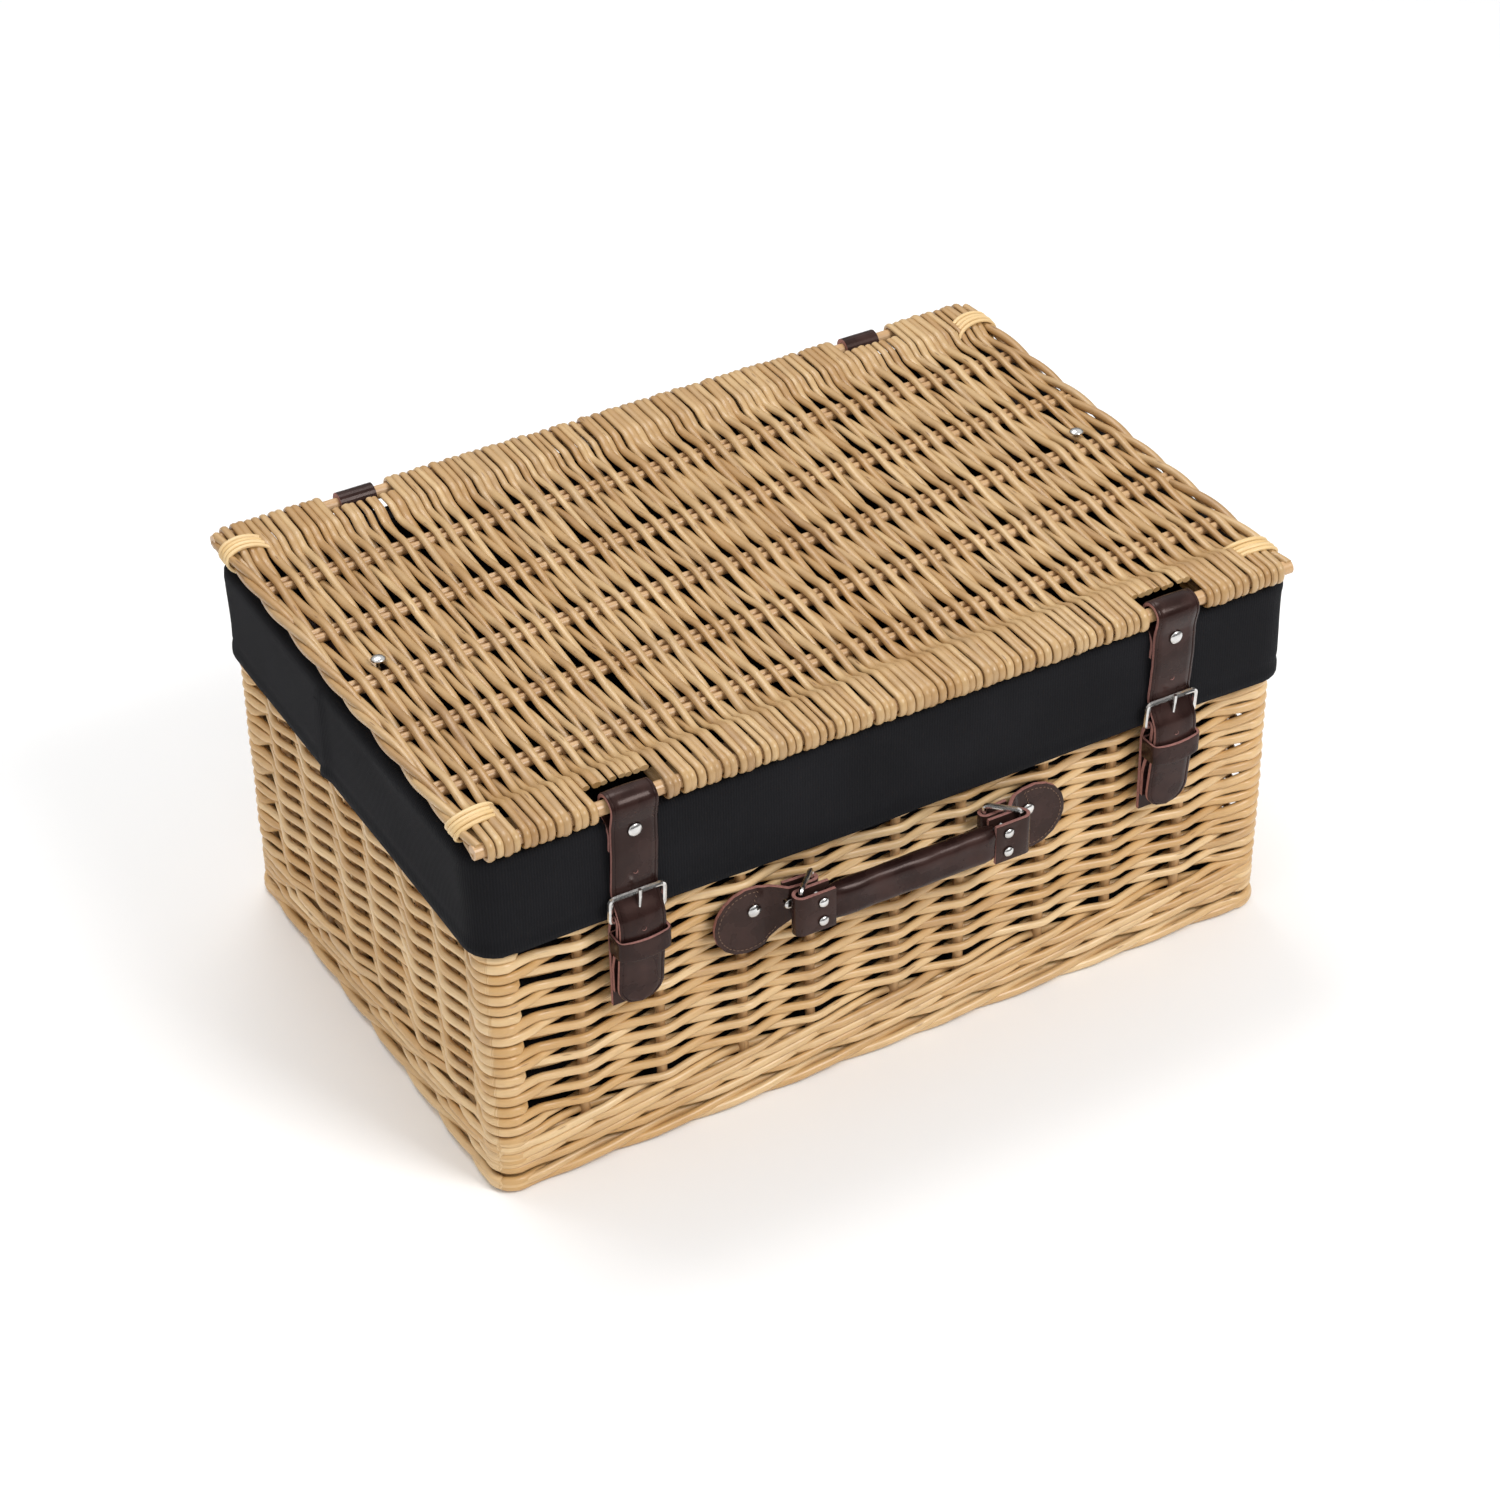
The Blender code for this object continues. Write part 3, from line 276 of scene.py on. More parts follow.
def weaving_tree():
    """Rods that pass over one stake and under the next, neighbours alternating. The guide carries
    bay (which counts stakes), hold (1 where a rod stays outside), dive (1 where the last but one
    of a group goes inside at once), shift (which rod of a group is which), tip and outward. The
    last rod of a group isn't held, and the others close up over it."""
    extra = {"Notch Left": 9.0, "Notch Right": 9.0, "Notch Half": 0.0, "Hold Wide": 1.0, "Hold Thin": 1.0}
    extra.update({"Slip": 0.3, "Group": 1000.0, "Close Up": 0.0, "Peak": 0.11, "Uneven": 0.1})
    inputs = ROD_INPUTS + [(label, "Float", value) for label, value in extra.items()]
    tree, given, out = new_tree("weaving", "GeometryNodeTree", inputs, [("Rods", "Geometry")])
    rods = rods_in_rows(tree, given["Guide"], given["Rods"], given["Step"])
    row, bay, hold = (Field(tree, named(tree, name)) for name in ("row", "bay", "hold"))
    seed = Field(tree, given["Seed"])
    x = Field(tree, put(tree, "ShaderNodeSeparateXYZ", {0: put(tree, "GeometryNodeInputPosition")}))
    off = [(x - Field(tree, given[f"Notch {side}"])).math("ABSOLUTE") for side in ("Left", "Right")]
    near = off[0].math("MINIMUM", off[1]).math("LESS_THAN", given["Notch Half"])
    gone = near * Field(tree, named(tree, "tip")).math("GREATER_THAN", 0.5)
    cleared = {"Geometry": rods, "Selection": gone}
    rods = put(tree, "GeometryNodeDeleteGeometry", cleared, domain="POINT")
    angle = (bay + row + drift(tree, row, 3.0, seed, given["Slip"])) * math.pi
    peak = Field(tree, given["Peak"])  # the overtones sharpen the bends, and the wave keeps to 1
    wave = (angle.cos() + (angle * 3.0).cos() * peak + (angle * 5.0).cos() / 25.0) / (peak + 1.04)
    group = Field(tree, given["Group"])
    kind = (row + Field(tree, named(tree, "shift"))).math("FLOORED_MODULO", group)
    hold = hold * kind.math("LESS_THAN", group - 1.5)
    dive = kind.math("COMPARE", group - 2.0, 0.5) * Field(tree, named(tree, "dive"))
    held = wave.mix(1.0, hold).mix(-1.0, dive)
    depth = held * Field(tree, given["Swing"]) + drift(tree, row, 16.0, seed + 5.0, given["Wander"])
    closing = (kind / 3.0 + 1 / 6) * hold * Field(tree, given["Close Up"])
    lift = drift(tree, row, 11.0, seed + 9.0, given["Wander"]) * 3.0 + closing
    shift = summed(
        tree,
        scaled(tree, named(tree, "outward", "FLOAT_VECTOR"), depth),
        scaled(tree, given["Across"], lift),
    )
    rods = put(tree, "GeometryNodeSetPosition", {"Geometry": rods, "Offset": shift})
    own = put(tree, "ShaderNodeTexWhiteNoise", {"W": row + seed}, noise_dimensions="1D")
    mine = (Field(tree, own.outputs["Value"]) - 0.5) * Field(tree, given["Uneven"])
    girth = drift(tree, row, 2.2, seed + 3.0, 0.4) + mine + 1.0
    broad = Field(tree, given["Wide"]).mix(Field(tree, given["Hold Wide"]), hold)
    slim = Field(tree, given["Thin"]).mix(Field(tree, given["Hold Thin"]), hold)
    radius = girth * Field(tree, given["Rod Radius"])
    rods = swept(tree, rods, radius, given["Sides"], slim, broad, given["Across"])
    finished(tree, rods, given["Finish"], out[0])
    return tree


def twisting_tree():
    """Rounds of rods twisted round one another, each passing two stakes outside and one inside."""
    extra = [("Strands", "Int", 3), ("Bays A Turn", "Float", 3.0)]
    extra += [("Rise", "Float", 0.002), ("Bias", "Float", 0.3)]
    tree, given, out = new_tree("twisting", "GeometryNodeTree", ROD_INPUTS + extra, [("Rods", "Geometry")])
    rods = rods_in_rows(tree, given["Guide"], given["Rods"], (0.0, 0.0, 0.0))
    row, bay, hold = (Field(tree, named(tree, name)) for name in ("row", "bay", "hold"))
    seed = Field(tree, given["Seed"])
    strands = Field(tree, given["Strands"])
    level = (row / strands).math("FLOOR")
    angle = bay / Field(tree, given["Bays A Turn"]) + row / strands + level * 0.21
    angle = (angle + drift(tree, row, 3.0, seed, 0.2)) * (2 * math.pi)
    wave = (angle.cos() + Field(tree, given["Bias"])).math("MINIMUM", 1.0).math("MAXIMUM", -1.0)
    depth = wave.mix(0.8, hold) * Field(tree, given["Swing"])
    depth = depth + drift(tree, row, 14.0, seed + 5.0, given["Wander"])
    lift = angle.sin() * Field(tree, given["Rise"]) + drift(tree, row, 9.0, seed + 9.0, given["Wander"])
    shift = summed(tree, scaled(tree, given["Step"], level), scaled(tree, given["Across"], lift))
    shift = summed(tree, shift, scaled(tree, named(tree, "outward", "FLOAT_VECTOR"), depth))
    rods = put(tree, "GeometryNodeSetPosition", {"Geometry": rods, "Offset": shift})
    girth = drift(tree, row, 2.2, seed + 3.0, 0.4) + 1.0
    radius = girth * Field(tree, given["Rod Radius"])
    rods = swept(tree, rods, radius, given["Sides"], given["Thin"], given["Wide"], given["Across"])
    finished(tree, rods, given["Finish"], out[0])
    return tree


def rod_tree():
    """Plain rods along the guide's own lines, whose points carry girth and row."""
    tree, given, out = new_tree("rods", "GeometryNodeTree", ROD_INPUTS, [("Rods", "Geometry")])
    curve = put(tree, "GeometryNodeMeshToCurve", {"Mesh": given["Guide"]})
    row = Field(tree, named(tree, "row"))
    seed = Field(tree, given["Seed"])
    outward = named(tree, "outward", "FLOAT_VECTOR")
    stray = scaled(tree, outward, drift(tree, row, 18.0, seed, given["Wander"]))
    curve = put(tree, "GeometryNodeSetPosition", {"Geometry": curve, "Offset": stray})
    radius = Field(tree, named(tree, "girth")) * Field(tree, given["Rod Radius"])
    radius = radius * (drift(tree, row, 6.0, seed + 3.0, 0.25) + 1.0)
    rods = swept(tree, curve, radius, given["Sides"], given["Thin"], given["Wide"], given["Across"])
    finished(tree, rods, given["Finish"], out[0])
    return tree


def stitching_tree():
    """Short raised stitches laid end to end along the guide's lines."""
    inputs = [
        ("Guide", "Geometry", None),
        ("Pitch", "Float", 0.0034),
        ("Stitch Length", "Float", 0.0023),
        ("Thread Radius", "Float", 0.0004),
        ("Finish", "Material", None),
    ]
    tree, given, out = new_tree("stitching", "GeometryNodeTree", inputs, [("Stitches", "Geometry")])
    curve = put(tree, "GeometryNodeMeshToCurve", {"Mesh": given["Guide"]})
    spacing = {"Curve": curve, "Length": given["Pitch"]}
    spots = put(tree, "GeometryNodeCurveToPoints", spacing, mode="LENGTH").outputs
    bead = put(tree, "GeometryNodeMeshUVSphere", {"Segments": 6, "Rings": 5, "Radius": 1.0})
    half = Field(tree, given["Stitch Length"]) * 0.5
    size = put(
        tree, "ShaderNodeCombineXYZ", {0: given["Thread Radius"], 1: given["Thread Radius"], 2: half}
    )
    laid = {"Points": spots["Points"], "Instance": bead, "Rotation": spots["Rotation"], "Scale": size}
    beads = put(tree, "GeometryNodeInstanceOnPoints", laid)
    real = put(tree, "GeometryNodeRealizeInstances", {"Geometry": beads})
    smooth = put(tree, "GeometryNodeSetShadeSmooth", {"Geometry": real})
    done = put(tree, "GeometryNodeSetMaterial", {"Geometry": smooth, "Material": given["Finish"]})
    tree.links.new(done.outputs[0], out[0])
    return tree


def guide_mesh(name, lines, closed=False, **values):
    """Polylines as one mesh of edges. Each value is a list for every line, or one for all points."""
    points = [p for line in lines for p in line]
    edges, start = [], 0
    for line in lines:
        edges += [(start + i, start + i + 1) for i in range(len(line) - 1)]
        if closed:
            edges.append((start + len(line) - 1, start))
        start += len(line)
    mesh = bpy.data.meshes.new(name)
    mesh.from_pydata([tuple(p) for p in points], edges, [])
    for label, value in values.items():
        data = np.array([v for line in value for v in line], np.float32)
        kind = "FLOAT_VECTOR" if data.ndim == 2 else "FLOAT"
        attribute = mesh.attributes.new(label, kind, "POINT")
        attribute.data.foreach_set("vector" if data.ndim == 2 else "value", data.ravel())
    return mesh


def placed(name, data):
    """A new object in the scene."""
    made = bpy.data.objects.new(name, data)
    bpy.context.scene.collection.objects.link(made)
    return made


def grown(name, mesh, tree, **inputs):
    """The tree's result on this guide as a plain mesh object; an input left out has the tree's default."""
    guide = placed(name + "_guide", mesh)
    modifier = guide.modifiers.new("grow", "NODES")
    modifier.node_group = tree
    sockets = {item.name: item.identifier for item in tree.interface.items_tree if item.in_out == "INPUT"}
    for label, value in inputs.items():
        modifier[sockets[label.replace("_", " ")]] = value
    evaluated = guide.evaluated_get(bpy.context.evaluated_depsgraph_get())
    result = bpy.data.meshes.new_from_object(evaluated)
    bpy.data.objects.remove(guide)
    result.name = name
    return placed(name, result)


# Finishes


def new_material(name, **settings):
    """A material with these shader inputs, its node tree and its shader."""
    material = bpy.data.materials.new(name)
    material.use_nodes = True
    tree = material.node_tree
    shader = tree.nodes["Principled BSDF"]
    for label, value in settings.items():
        shader.inputs[label.replace("_", " ")].default_value = value
    return material, tree, shader


def feed(tree, shader, colour, roughness, height, strength, distance):
    """Links a finish's colour, roughness and raised height to its shader."""
    tree.links.new(colour, shader.inputs["Base Color"])
    tree.links.new(roughness.socket, shader.inputs["Roughness"])
    inputs = {"Height": height, "Strength": strength, "Distance": distance}
    tree.links.new(put(tree, "ShaderNodeBump", inputs).outputs[0], shader.inputs["Normal"])


def feed_from(group, tree, shader, strength, distance):
    """Links the outputs of a finish's own node group to its shader."""
    colour, rough, height = (group.outputs[label] for label in ("Color", "Roughness", "Height"))
    feed(tree, shader, colour, Field(tree, rough), height, strength, distance)


def noise_of(tree, vector, scale, detail=3.0, **settings):
    inputs = {"Vector": vector, "Scale": scale, "Detail": detail}
    return Field(tree, put(tree, "ShaderNodeTexNoise", inputs, **settings))


def blended(tree, share, first, second):
    made = put(tree, "ShaderNodeMix", {"Factor": share}, data_type="RGBA")
    for socket, value in ((made.inputs[6], first), (made.inputs[7], second)):
        if isinstance(value, bpy.types.NodeSocket):
            tree.links.new(value, socket)
        else:
            socket.default_value = (*value, 1.0)
    return made.outputs[2]


def willow_group():
    """Colour, roughness and height of a peeled rod: every rod its own tone, streaks along it, knots."""
    inputs = [
        ("Pale", "Color", (0.74, 0.50, 0.22, 1)),
        ("Honey", "Color", (0.58, 0.34, 0.12, 1)),
        ("Brown", "Color", (0.36, 0.17, 0.055, 1)),
        ("Streaks", "Float", 1.0),
    ]
    outputs = [("Color", "Color"), ("Roughness", "Float"), ("Height", "Float")]
    tree, given, out = new_tree("willow_skin", "ShaderNodeTree", inputs, outputs)
    place = put(tree, "ShaderNodeTexCoord").outputs["Object"]
    row, along, around = (
        Field(tree, put(tree, "ShaderNodeAttribute", attribute_name=name).outputs["Fac"])
        for name in ("row", "along", "around")
    )
    own = put(tree, "ShaderNodeCombineXYZ", {0: along * 2.6, 1: row * 3.17, 2: row * 1.31})
    tone = noise_of(tree, own, 1.0, 1.0).spread(0.34, 0.66)
    dark = noise_of(tree, own, 1.7, 1.0, noise_dimensions="4D").spread(0.55, 0.78)
    ring = around * (2 * math.pi)
    side, front = ring.cos(), ring.sin()
    run = put(tree, "ShaderNodeCombineXYZ", {0: along * 45.0, 1: side * 2.4, 2: front * 2.4 + row * 5.3})
    streak = noise_of(tree, run, 1.0, 4.0).spread(0.3, 0.72)
    mottle = noise_of(tree, place, 60.0, 3.0).spread(0.4, 0.75)
    spots = put(tree, "ShaderNodeCombineXYZ", {0: along * 40.0, 1: side * 0.9 + row * 7.7, 2: front * 0.9})
    knot = Field(
        tree,
        put(tree, "ShaderNodeTexVoronoi", {"Vector": spots, "Scale": 1.0}).outputs["Distance"],
    ).spread(0.07, 0.15, 1.0, 0.0)
    base = blended(tree, tone.socket, given["Pale"], given["Honey"])
    base = blended(tree, (streak * 0.42 * Field(tree, given["Streaks"])).socket, base, given["Honey"])
    base = blended(tree, (mottle * 0.2 + dark * 0.45).math("MINIMUM", 1.0).socket, base, given["Brown"])
    base = blended(tree, (knot * 0.75).socket, base, given["Brown"])
    tree.links.new(base, out["Color"])
    rough = (streak * 0.12 + 0.36) + mottle * 0.1
    tree.links.new(rough.socket, out["Roughness"])
    tree.links.new((streak * 0.5 + knot * 0.8).socket, out["Height"])
    return tree


def leather_group():
    """Finished hide: pebble grain, faint wear, colour drift, and the raw cut edge."""
    inputs = [
        ("Hide", "Color", (0.040, 0.019, 0.018, 1)),
        ("Worn", "Color", (0.085, 0.042, 0.036, 1)),
        ("Raw Edge", "Color", (0.40, 0.19, 0.165, 1)),
        ("Edge Axis", "Vector", (1, 0, 0)),
        ("Edge From", "Float", 0.6),
    ]
    outputs = [("Color", "Color"), ("Roughness", "Float"), ("Height", "Float")]
    tree, given, out = new_tree("hide", "ShaderNodeTree", inputs, outputs)
    coordinates = put(tree, "ShaderNodeTexCoord")
    place, facing = coordinates.outputs["Object"], coordinates.outputs["Normal"]
    along = put(tree, "ShaderNodeVectorMath", {0: facing, 1: given["Edge Axis"]}, operation="DOT_PRODUCT")
    across = Field(tree, along.outputs["Value"]).math("ABSOLUTE")
    raw = across.math("SUBTRACT", given["Edge From"]).spread(0.0, 0.12)
    pebble = Field(
        tree,
        put(tree, "ShaderNodeTexVoronoi", {"Vector": place, "Scale": 1300.0}).outputs["Distance"],
    )
    wear = noise_of(tree, place, 60.0, 5.0).spread(0.42, 0.8)
    ripple = noise_of(tree, place, 70.0, 2.0)
    fibre = noise_of(tree, place, 900.0, 3.0)
    hide = blended(tree, (wear * 0.4).socket, given["Hide"], given["Worn"])
    edge = blended(tree, (fibre.spread(0.35, 0.7) * 0.45).socket, given["Raw Edge"], given["Worn"])
    tree.links.new(blended(tree, raw.socket, hide, edge), out["Color"])
    rough = (wear * 0.14 + 0.24).mix(0.8, raw)
    tree.links.new(rough.socket, out["Roughness"])
    height = (pebble * 0.3 + ripple * 0.9).mix(fibre, raw)
    tree.links.new(height.socket, out["Height"])
    return tree


WILLOW_SKIN = willow_group()
HIDE = leather_group()


def willow(name, pale, honey, brown, streaks=1.0, coat=0.35):
    """Peeled rods in three tones."""
    material, tree, shader = new_material(name, Coat_Weight=coat, Coat_Roughness=0.25)
    group = put(tree, "ShaderNodeGroup", node_tree=WILLOW_SKIN)
    for label, value in (("Pale", pale), ("Honey", honey), ("Brown", brown)):
        group.inputs[label].default_value = (*value, 1)
    group.inputs["Streaks"].default_value = streaks
    feed_from(group, tree, shader, 0.35, 0.4 * MM)
    return material


def leather(name, axis=(1, 0, 0), edge_from=0.6, hide=(0.017, 0.0072, 0.0062)):
    """Hide whose faces along this axis, past edge_from, show the raw cut edge."""
    material, tree, shader = new_material(
        name,
        Specular_IOR_Level=0.17,
        Specular_Tint=(1.0, 0.74, 0.66, 1),
        Coat_Weight=0.07,
        Coat_Roughness=0.12,
    )
    group = put(tree, "ShaderNodeGroup", node_tree=HIDE)
    group.inputs["Edge Axis"].default_value = axis
    group.inputs["Edge From"].default_value = edge_from
    group.inputs["Hide"].default_value = (*hide, 1)
    feed_from(group, tree, shader, 0.25, 0.3 * MM)
    return material


def nickel(name, roughness=0.14):
    """Bright plate with a faint haze and fine scuffs."""
    material, tree, shader = new_material(name, Metallic=1.0)
    place = put(tree, "ShaderNodeTexCoord").outputs["Object"]
    haze = noise_of(tree, place, 260.0, 4.0).spread(0.35, 0.75)
    scuff = noise_of(tree, place, 1400.0, 2.0)
    colour = blended(tree, haze.socket, (0.70, 0.69, 0.67), (0.52, 0.51, 0.50))
    feed(tree, shader, colour, haze * 0.14 + roughness, scuff.socket, 0.05, 0.0002)
    return material


def cotton(name):
    """Black cotton twill with a fine rib, read from the cloth's own UV map, in metres."""
    material, tree, shader = new_material(
        name,
        Specular_IOR_Level=0.12,
        Sheen_Weight=0.02,
        Sheen_Roughness=0.4,
        Sheen_Tint=(0.5, 0.5, 0.56, 1),
    )
    flat = put(tree, "ShaderNodeUVMap", uv_map="cloth")
    parts = put(tree, "ShaderNodeSeparateXYZ", {0: flat}).outputs
    u, v = Field(tree, parts[0]), Field(tree, parts[1])
    rib = (u * (2 * math.pi / (1.6 * MM))).sin() * 0.5 + 0.5
    twill = ((u + v) * (2 * math.pi / (0.9 * MM))).sin() * 0.5 + 0.5
    slub = noise_of(tree, flat.outputs[0], 700.0, 3.0)
    dust = noise_of(tree, flat.outputs[0], 14.0, 5.0).spread(0.45, 0.85)
    share = rib * 0.25 + slub * 0.35 + dust * 0.5
    colour = blended(tree, share.socket, (0.004, 0.004, 0.0048), (0.014, 0.014, 0.0165))
    height = rib * 0.6 + twill * 0.5 + slub * 0.4
    feed(tree, shader, colour, slub * 0.1 + 0.82, height, 0.45, 0.5 * MM)
    return material


def thread(name):
    """Waxed tan thread."""
    material, tree, shader = new_material(name, Roughness=0.7)
    place = put(tree, "ShaderNodeTexCoord").outputs["Object"]
    fuzz = noise_of(tree, place, 1500.0, 2.0)
    colour = blended(tree, fuzz.socket, (0.10, 0.055, 0.035), (0.22, 0.13, 0.08))
    feed(tree, shader, colour, fuzz * 0.2 + 0.6, fuzz.socket, 0.3, 0.0002)
    return material


BODY_WILLOW = willow("buff_willow", (0.82, 0.60, 0.33), (0.60, 0.36, 0.14), (0.30, 0.14, 0.045))
# The lid's willow is the body's willow made darker: painted shade for the lid's flatter, dimmer light.
SHADED_LID_WILLOW = willow("lid_willow_painted_shade", (0.58, 0.395, 0.19), (0.40, 0.225, 0.08), (0.18, 0.08, 0.03))
# The stick willow is darker than the body's: partly the sticks' own pinkish brown, partly painted shade
# for sticks seen in the gaps between weavers.
STICK_WILLOW = willow("stick_willow", (0.60, 0.39, 0.20), (0.48, 0.28, 0.12), (0.28, 0.14, 0.055))
SKEIN = willow("split_skein", (0.80, 0.60, 0.33), (0.68, 0.46, 0.20), (0.45, 0.25, 0.10), 1.4, 0.2)
STRAP_HIDE = leather("strap_leather")
PLAIN_HIDE = leather("dark_leather", (0, 0, 1), 2.0)
PATCH_HIDE = leather("patch_leather", (0, 1, 0), 2.0, (0.024, 0.0118, 0.0096))
CUT_EDGE = leather("cut_leather", (0, 0, 1), -1.0)
NICKEL = nickel("bright_nickel")
COTTON = cotton("black_cotton")
THREAD = thread("tan_thread")

# Weaving

WEAVING, TWISTING, RODS, STITCHING = weaving_tree(), twisting_tree(), rod_tree(), stitching_tree()

BAY_STOPS = (0.0, 0.045, 0.1, 0.18, 0.3, 0.5, 0.7, 0.82, 0.9, 0.955)  # closest where rods kink


def stake_share(number, count):
    """How far along its side a stake stands, from 0 to 1; stakes aren't quite evenly spaced."""
    uneven = 0.07 * math.sin(2.7 * number + 0.6) if 0 < number < count else 0.0
    return (number + uneven) / count


def eased(point):
    """The weaving swells a little past the right-hand posts."""
    return Vector((point.x + 4 * MM * max(0.0, point.x) / WALL_X, point.y))


def wall_ring(depth, corner=CORNER):
    """A closed line round the walls at this depth behind their faces: points, outward, bay, hold,
    dive, shift. bay counts stakes and is whole at each corner post and at each stake between."""
    half_x, half_y = WALL_X - depth, WALL_Y - depth
    turn = corner - depth
    edge, close = 0.1, 0.035  # bays from a post to the straight run, and between its first points
    ring = []
    start = 0
    sides = [((-1, -1), (1, 0), half_x, WALL_BAYS[0]), ((1, -1), (0, 1), half_y, WALL_BAYS[1])]
    sides += [((1, 1), (-1, 0), half_x, WALL_BAYS[0]), ((-1, 1), (0, -1), half_y, WALL_BAYS[1])]
    for (sx, sy), (dx, dy), half, count in sides:
        corner_at = Vector((sx * (half_x - turn), sy * (half_y - turn)))
        along, out = Vector((dx, dy)), Vector((dy, -dx))
        for i in range(5):  # second half of the corner's turn
            a = math.pi / 4 * (1 - i / 5)
            ray = (out * math.cos(a) - along * math.sin(a)).normalized()
            ring.append((corner_at + ray * turn, ray, start + 0.02 * i, 1.0, 0.0, start % 2))
        run = 2 * (half - turn)
        first = corner_at + out * turn
        stops = {edge, count - edge} | {edge + close * k for k in range(1, 10)}
        stops |= {count - edge - close * k for k in range(1, 9)}
        stops |= {k + f for k in range(count) for f in BAY_STOPS if 0.4 < k + f < count - 0.4}
        for bay in sorted(stops):
            number = int(bay)
            low, high = stake_share(number, count), stake_share(number + 1, count)
            s = low + (high - low) * (bay - number)
            s = (s - edge / count) / (1 - 2 * edge / count)
            near = min(s, 1 - s) * run
            hold = max(0.0, 1 - near / (17 * MM)) ** 0.7
            sunk = min(1.0, max(0.0, (near - 3.5 * MM) / (5 * MM)))
            dive = sunk * sunk * (3 - 2 * sunk) * max(0.0, min(1.0, (0.85 - bay) / 0.3))
            shift = (start if s < 0.5 else start + count) % 2
            ring.append((first + along * run * s, out, start + bay, hold, dive, shift))
        next_corner = corner_at + along * run
        for i in range(1, 5):  # first half of the next corner's turn
            a = math.pi / 4 * i / 5
            ray = (out * math.cos(a) + along * math.sin(a)).normalized()
            bay = start + count - edge + 0.02 * i
            ring.append((next_corner + ray * turn, ray, bay, 1.0, 0.0, (start + count) % 2))
        start += count
    return tuple(zip(*[(eased(point), *rest) for point, *rest in ring]))


def ring_guide(name, depth, z):
    """The line round the walls at this height, ready for weaving or twisting."""
    points, outward, bays, hold, dive, shift = wall_ring(depth)
    return guide_mesh(
        name,
        [[(p.x, p.y, z) for p in points]],
        True,
        outward=[[(o.x, o.y, 0) for o in outward]],
        bay=[bays],
        hold=[hold],
        dive=[dive],
        shift=[shift],
        tip=[[0.0] * len(points)],
    )


def riding(piece, body, slot, *replaced):
    """Attaches a piece to the body it rides and hides the nodes that it stands in for; its look, slot, is
    not used.
    """
    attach(piece, body)
    if replaced:
        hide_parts(*replaced)
    return piece


walls = grown(
    "body_weaving",
    ring_guide("body_weaving", WEAVE_DEPTH, FIRST_ROW),
    WEAVING,
    Rods=WALL_ROWS,
    Step=(0.0, 0.0, ROW_STEP),
    Swing=WALL_SWING,
    Rod_Radius=WEAVER,
    Thin=0.9,
    Wander=0.0007,
    Seed=4.0,
    Finish=BODY_WILLOW,
    Hold_Wide=1.2,
    Hold_Thin=0.95,
    Slip=0.12,
    Group=4.0,
    Close_Up=ROW_STEP,
    Peak=0.13,
    Uneven=0.16,
)
riding(walls, "basket", "willow", "wall_front", "wall_right", "wall_back", "wall_left")

waling = grown(
    "body_waling",
    ring_guide("body_waling", WEAVE_DEPTH - 0.8 * MM, 18.4 * MM),
    TWISTING,
    Rods=9,
    Step=(0.0, 0.0, 7.6 * MM),
    Swing=5.0 * MM,
    Rod_Radius=2.6 * MM,
    Thin=0.9,
    Wander=0.0008,
    Seed=11.0,
    Finish=BODY_WILLOW,
    Strands=3,
    Bays_A_Turn=3.0,
    Rise=3.4 * MM,
    Bias=0.35,
)
riding(waling, "basket", "willow")

foot = grown(
    "foot_rods",
    ring_guide("foot_rods", 5.0 * MM, 5.6 * MM),
    TWISTING,
    Rods=3,
    Step=(0.0, 0.0, 0.0),
    Swing=3.6 * MM,
    Rod_Radius=2.9 * MM,
    Thin=0.95,
    Wander=0.0004,
    Sides=9,
    Seed=17.0,
    Finish=BODY_WILLOW,
    Strands=3,
    Bays_A_Turn=3.0,
    Rise=2.1 * MM,
    Bias=0.1,
)
riding(foot, "basket", "willow", "foot_border")

# Stakes stand where the count of bays is whole; the corner posts are thicker.
ring_points, ring_out, ring_bays = wall_ring(WEAVE_DEPTH)[:3]
stake_lines, stake_girth, stake_rows, stake_out = [], [], [], []
for number in range(2 * sum(WALL_BAYS)):
    corner_post = number in (0, WALL_BAYS[0], sum(WALL_BAYS), sum(WALL_BAYS) + WALL_BAYS[0])
    nearest = min(range(len(ring_bays)), key=lambda i: abs(ring_bays[i] - number))
    at, out = ring_points[nearest], ring_out[nearest]
    if corner_post:
        at = at - out * 0.6 * MM
    heights = [13 * MM + 10.5 * MM * i for i in range(18)]
    stake_lines.append([(at.x, at.y, z) for z in heights])
    stake_girth.append([1.35 if corner_post else 1.0] * len(heights))
    stake_rows.append([100.0 + number] * len(heights))
    stake_out.append([(out.x, out.y, 0.0)] * len(heights))
stakes = grown(
    "body_stakes",
    guide_mesh("body_stakes", stake_lines, outward=stake_out, girth=stake_girth, row=stake_rows),
    RODS,
    Rod_Radius=3.0 * MM,
    Thin=1.0,
    Wander=0.0006,
    Sides=9,
    Seed=3.0,
    Finish=STICK_WILLOW,
)
corners = [f"corner_post_{a}_{b}" for a in ("front", "back") for b in SIDES]
riding(stakes, "basket", "willow", *corners)

# Lid: weavers run from back to front, round the outer sticks and back underneath

WRAP = STICK_RADIUS + 1.4 * MM
stick_spread = 2 * STICK_Y / (LID_STICKS[-1] - LID_STICKS[0])
stick_places = [STICK_Y - (s - LID_STICKS[0]) * stick_spread for s in LID_STICKS]


def lid_bay(y):
    """Counts sticks from the back, whole at each."""
    for i in range(len(stick_places) - 1):
        high, low = stick_places[i], stick_places[i + 1]
        if low <= y <= high:
            return i + (high - y) / (high - low)
    return 0.0 if y > 0 else float(len(stick_places) - 1)


def squareness(angle):
    """How far a wrapped rod stands from the stick's middle, to the round shape's 1."""
    return (abs(math.cos(angle)) ** 5 + abs(math.sin(angle)) ** 5) ** (-1 / 5)


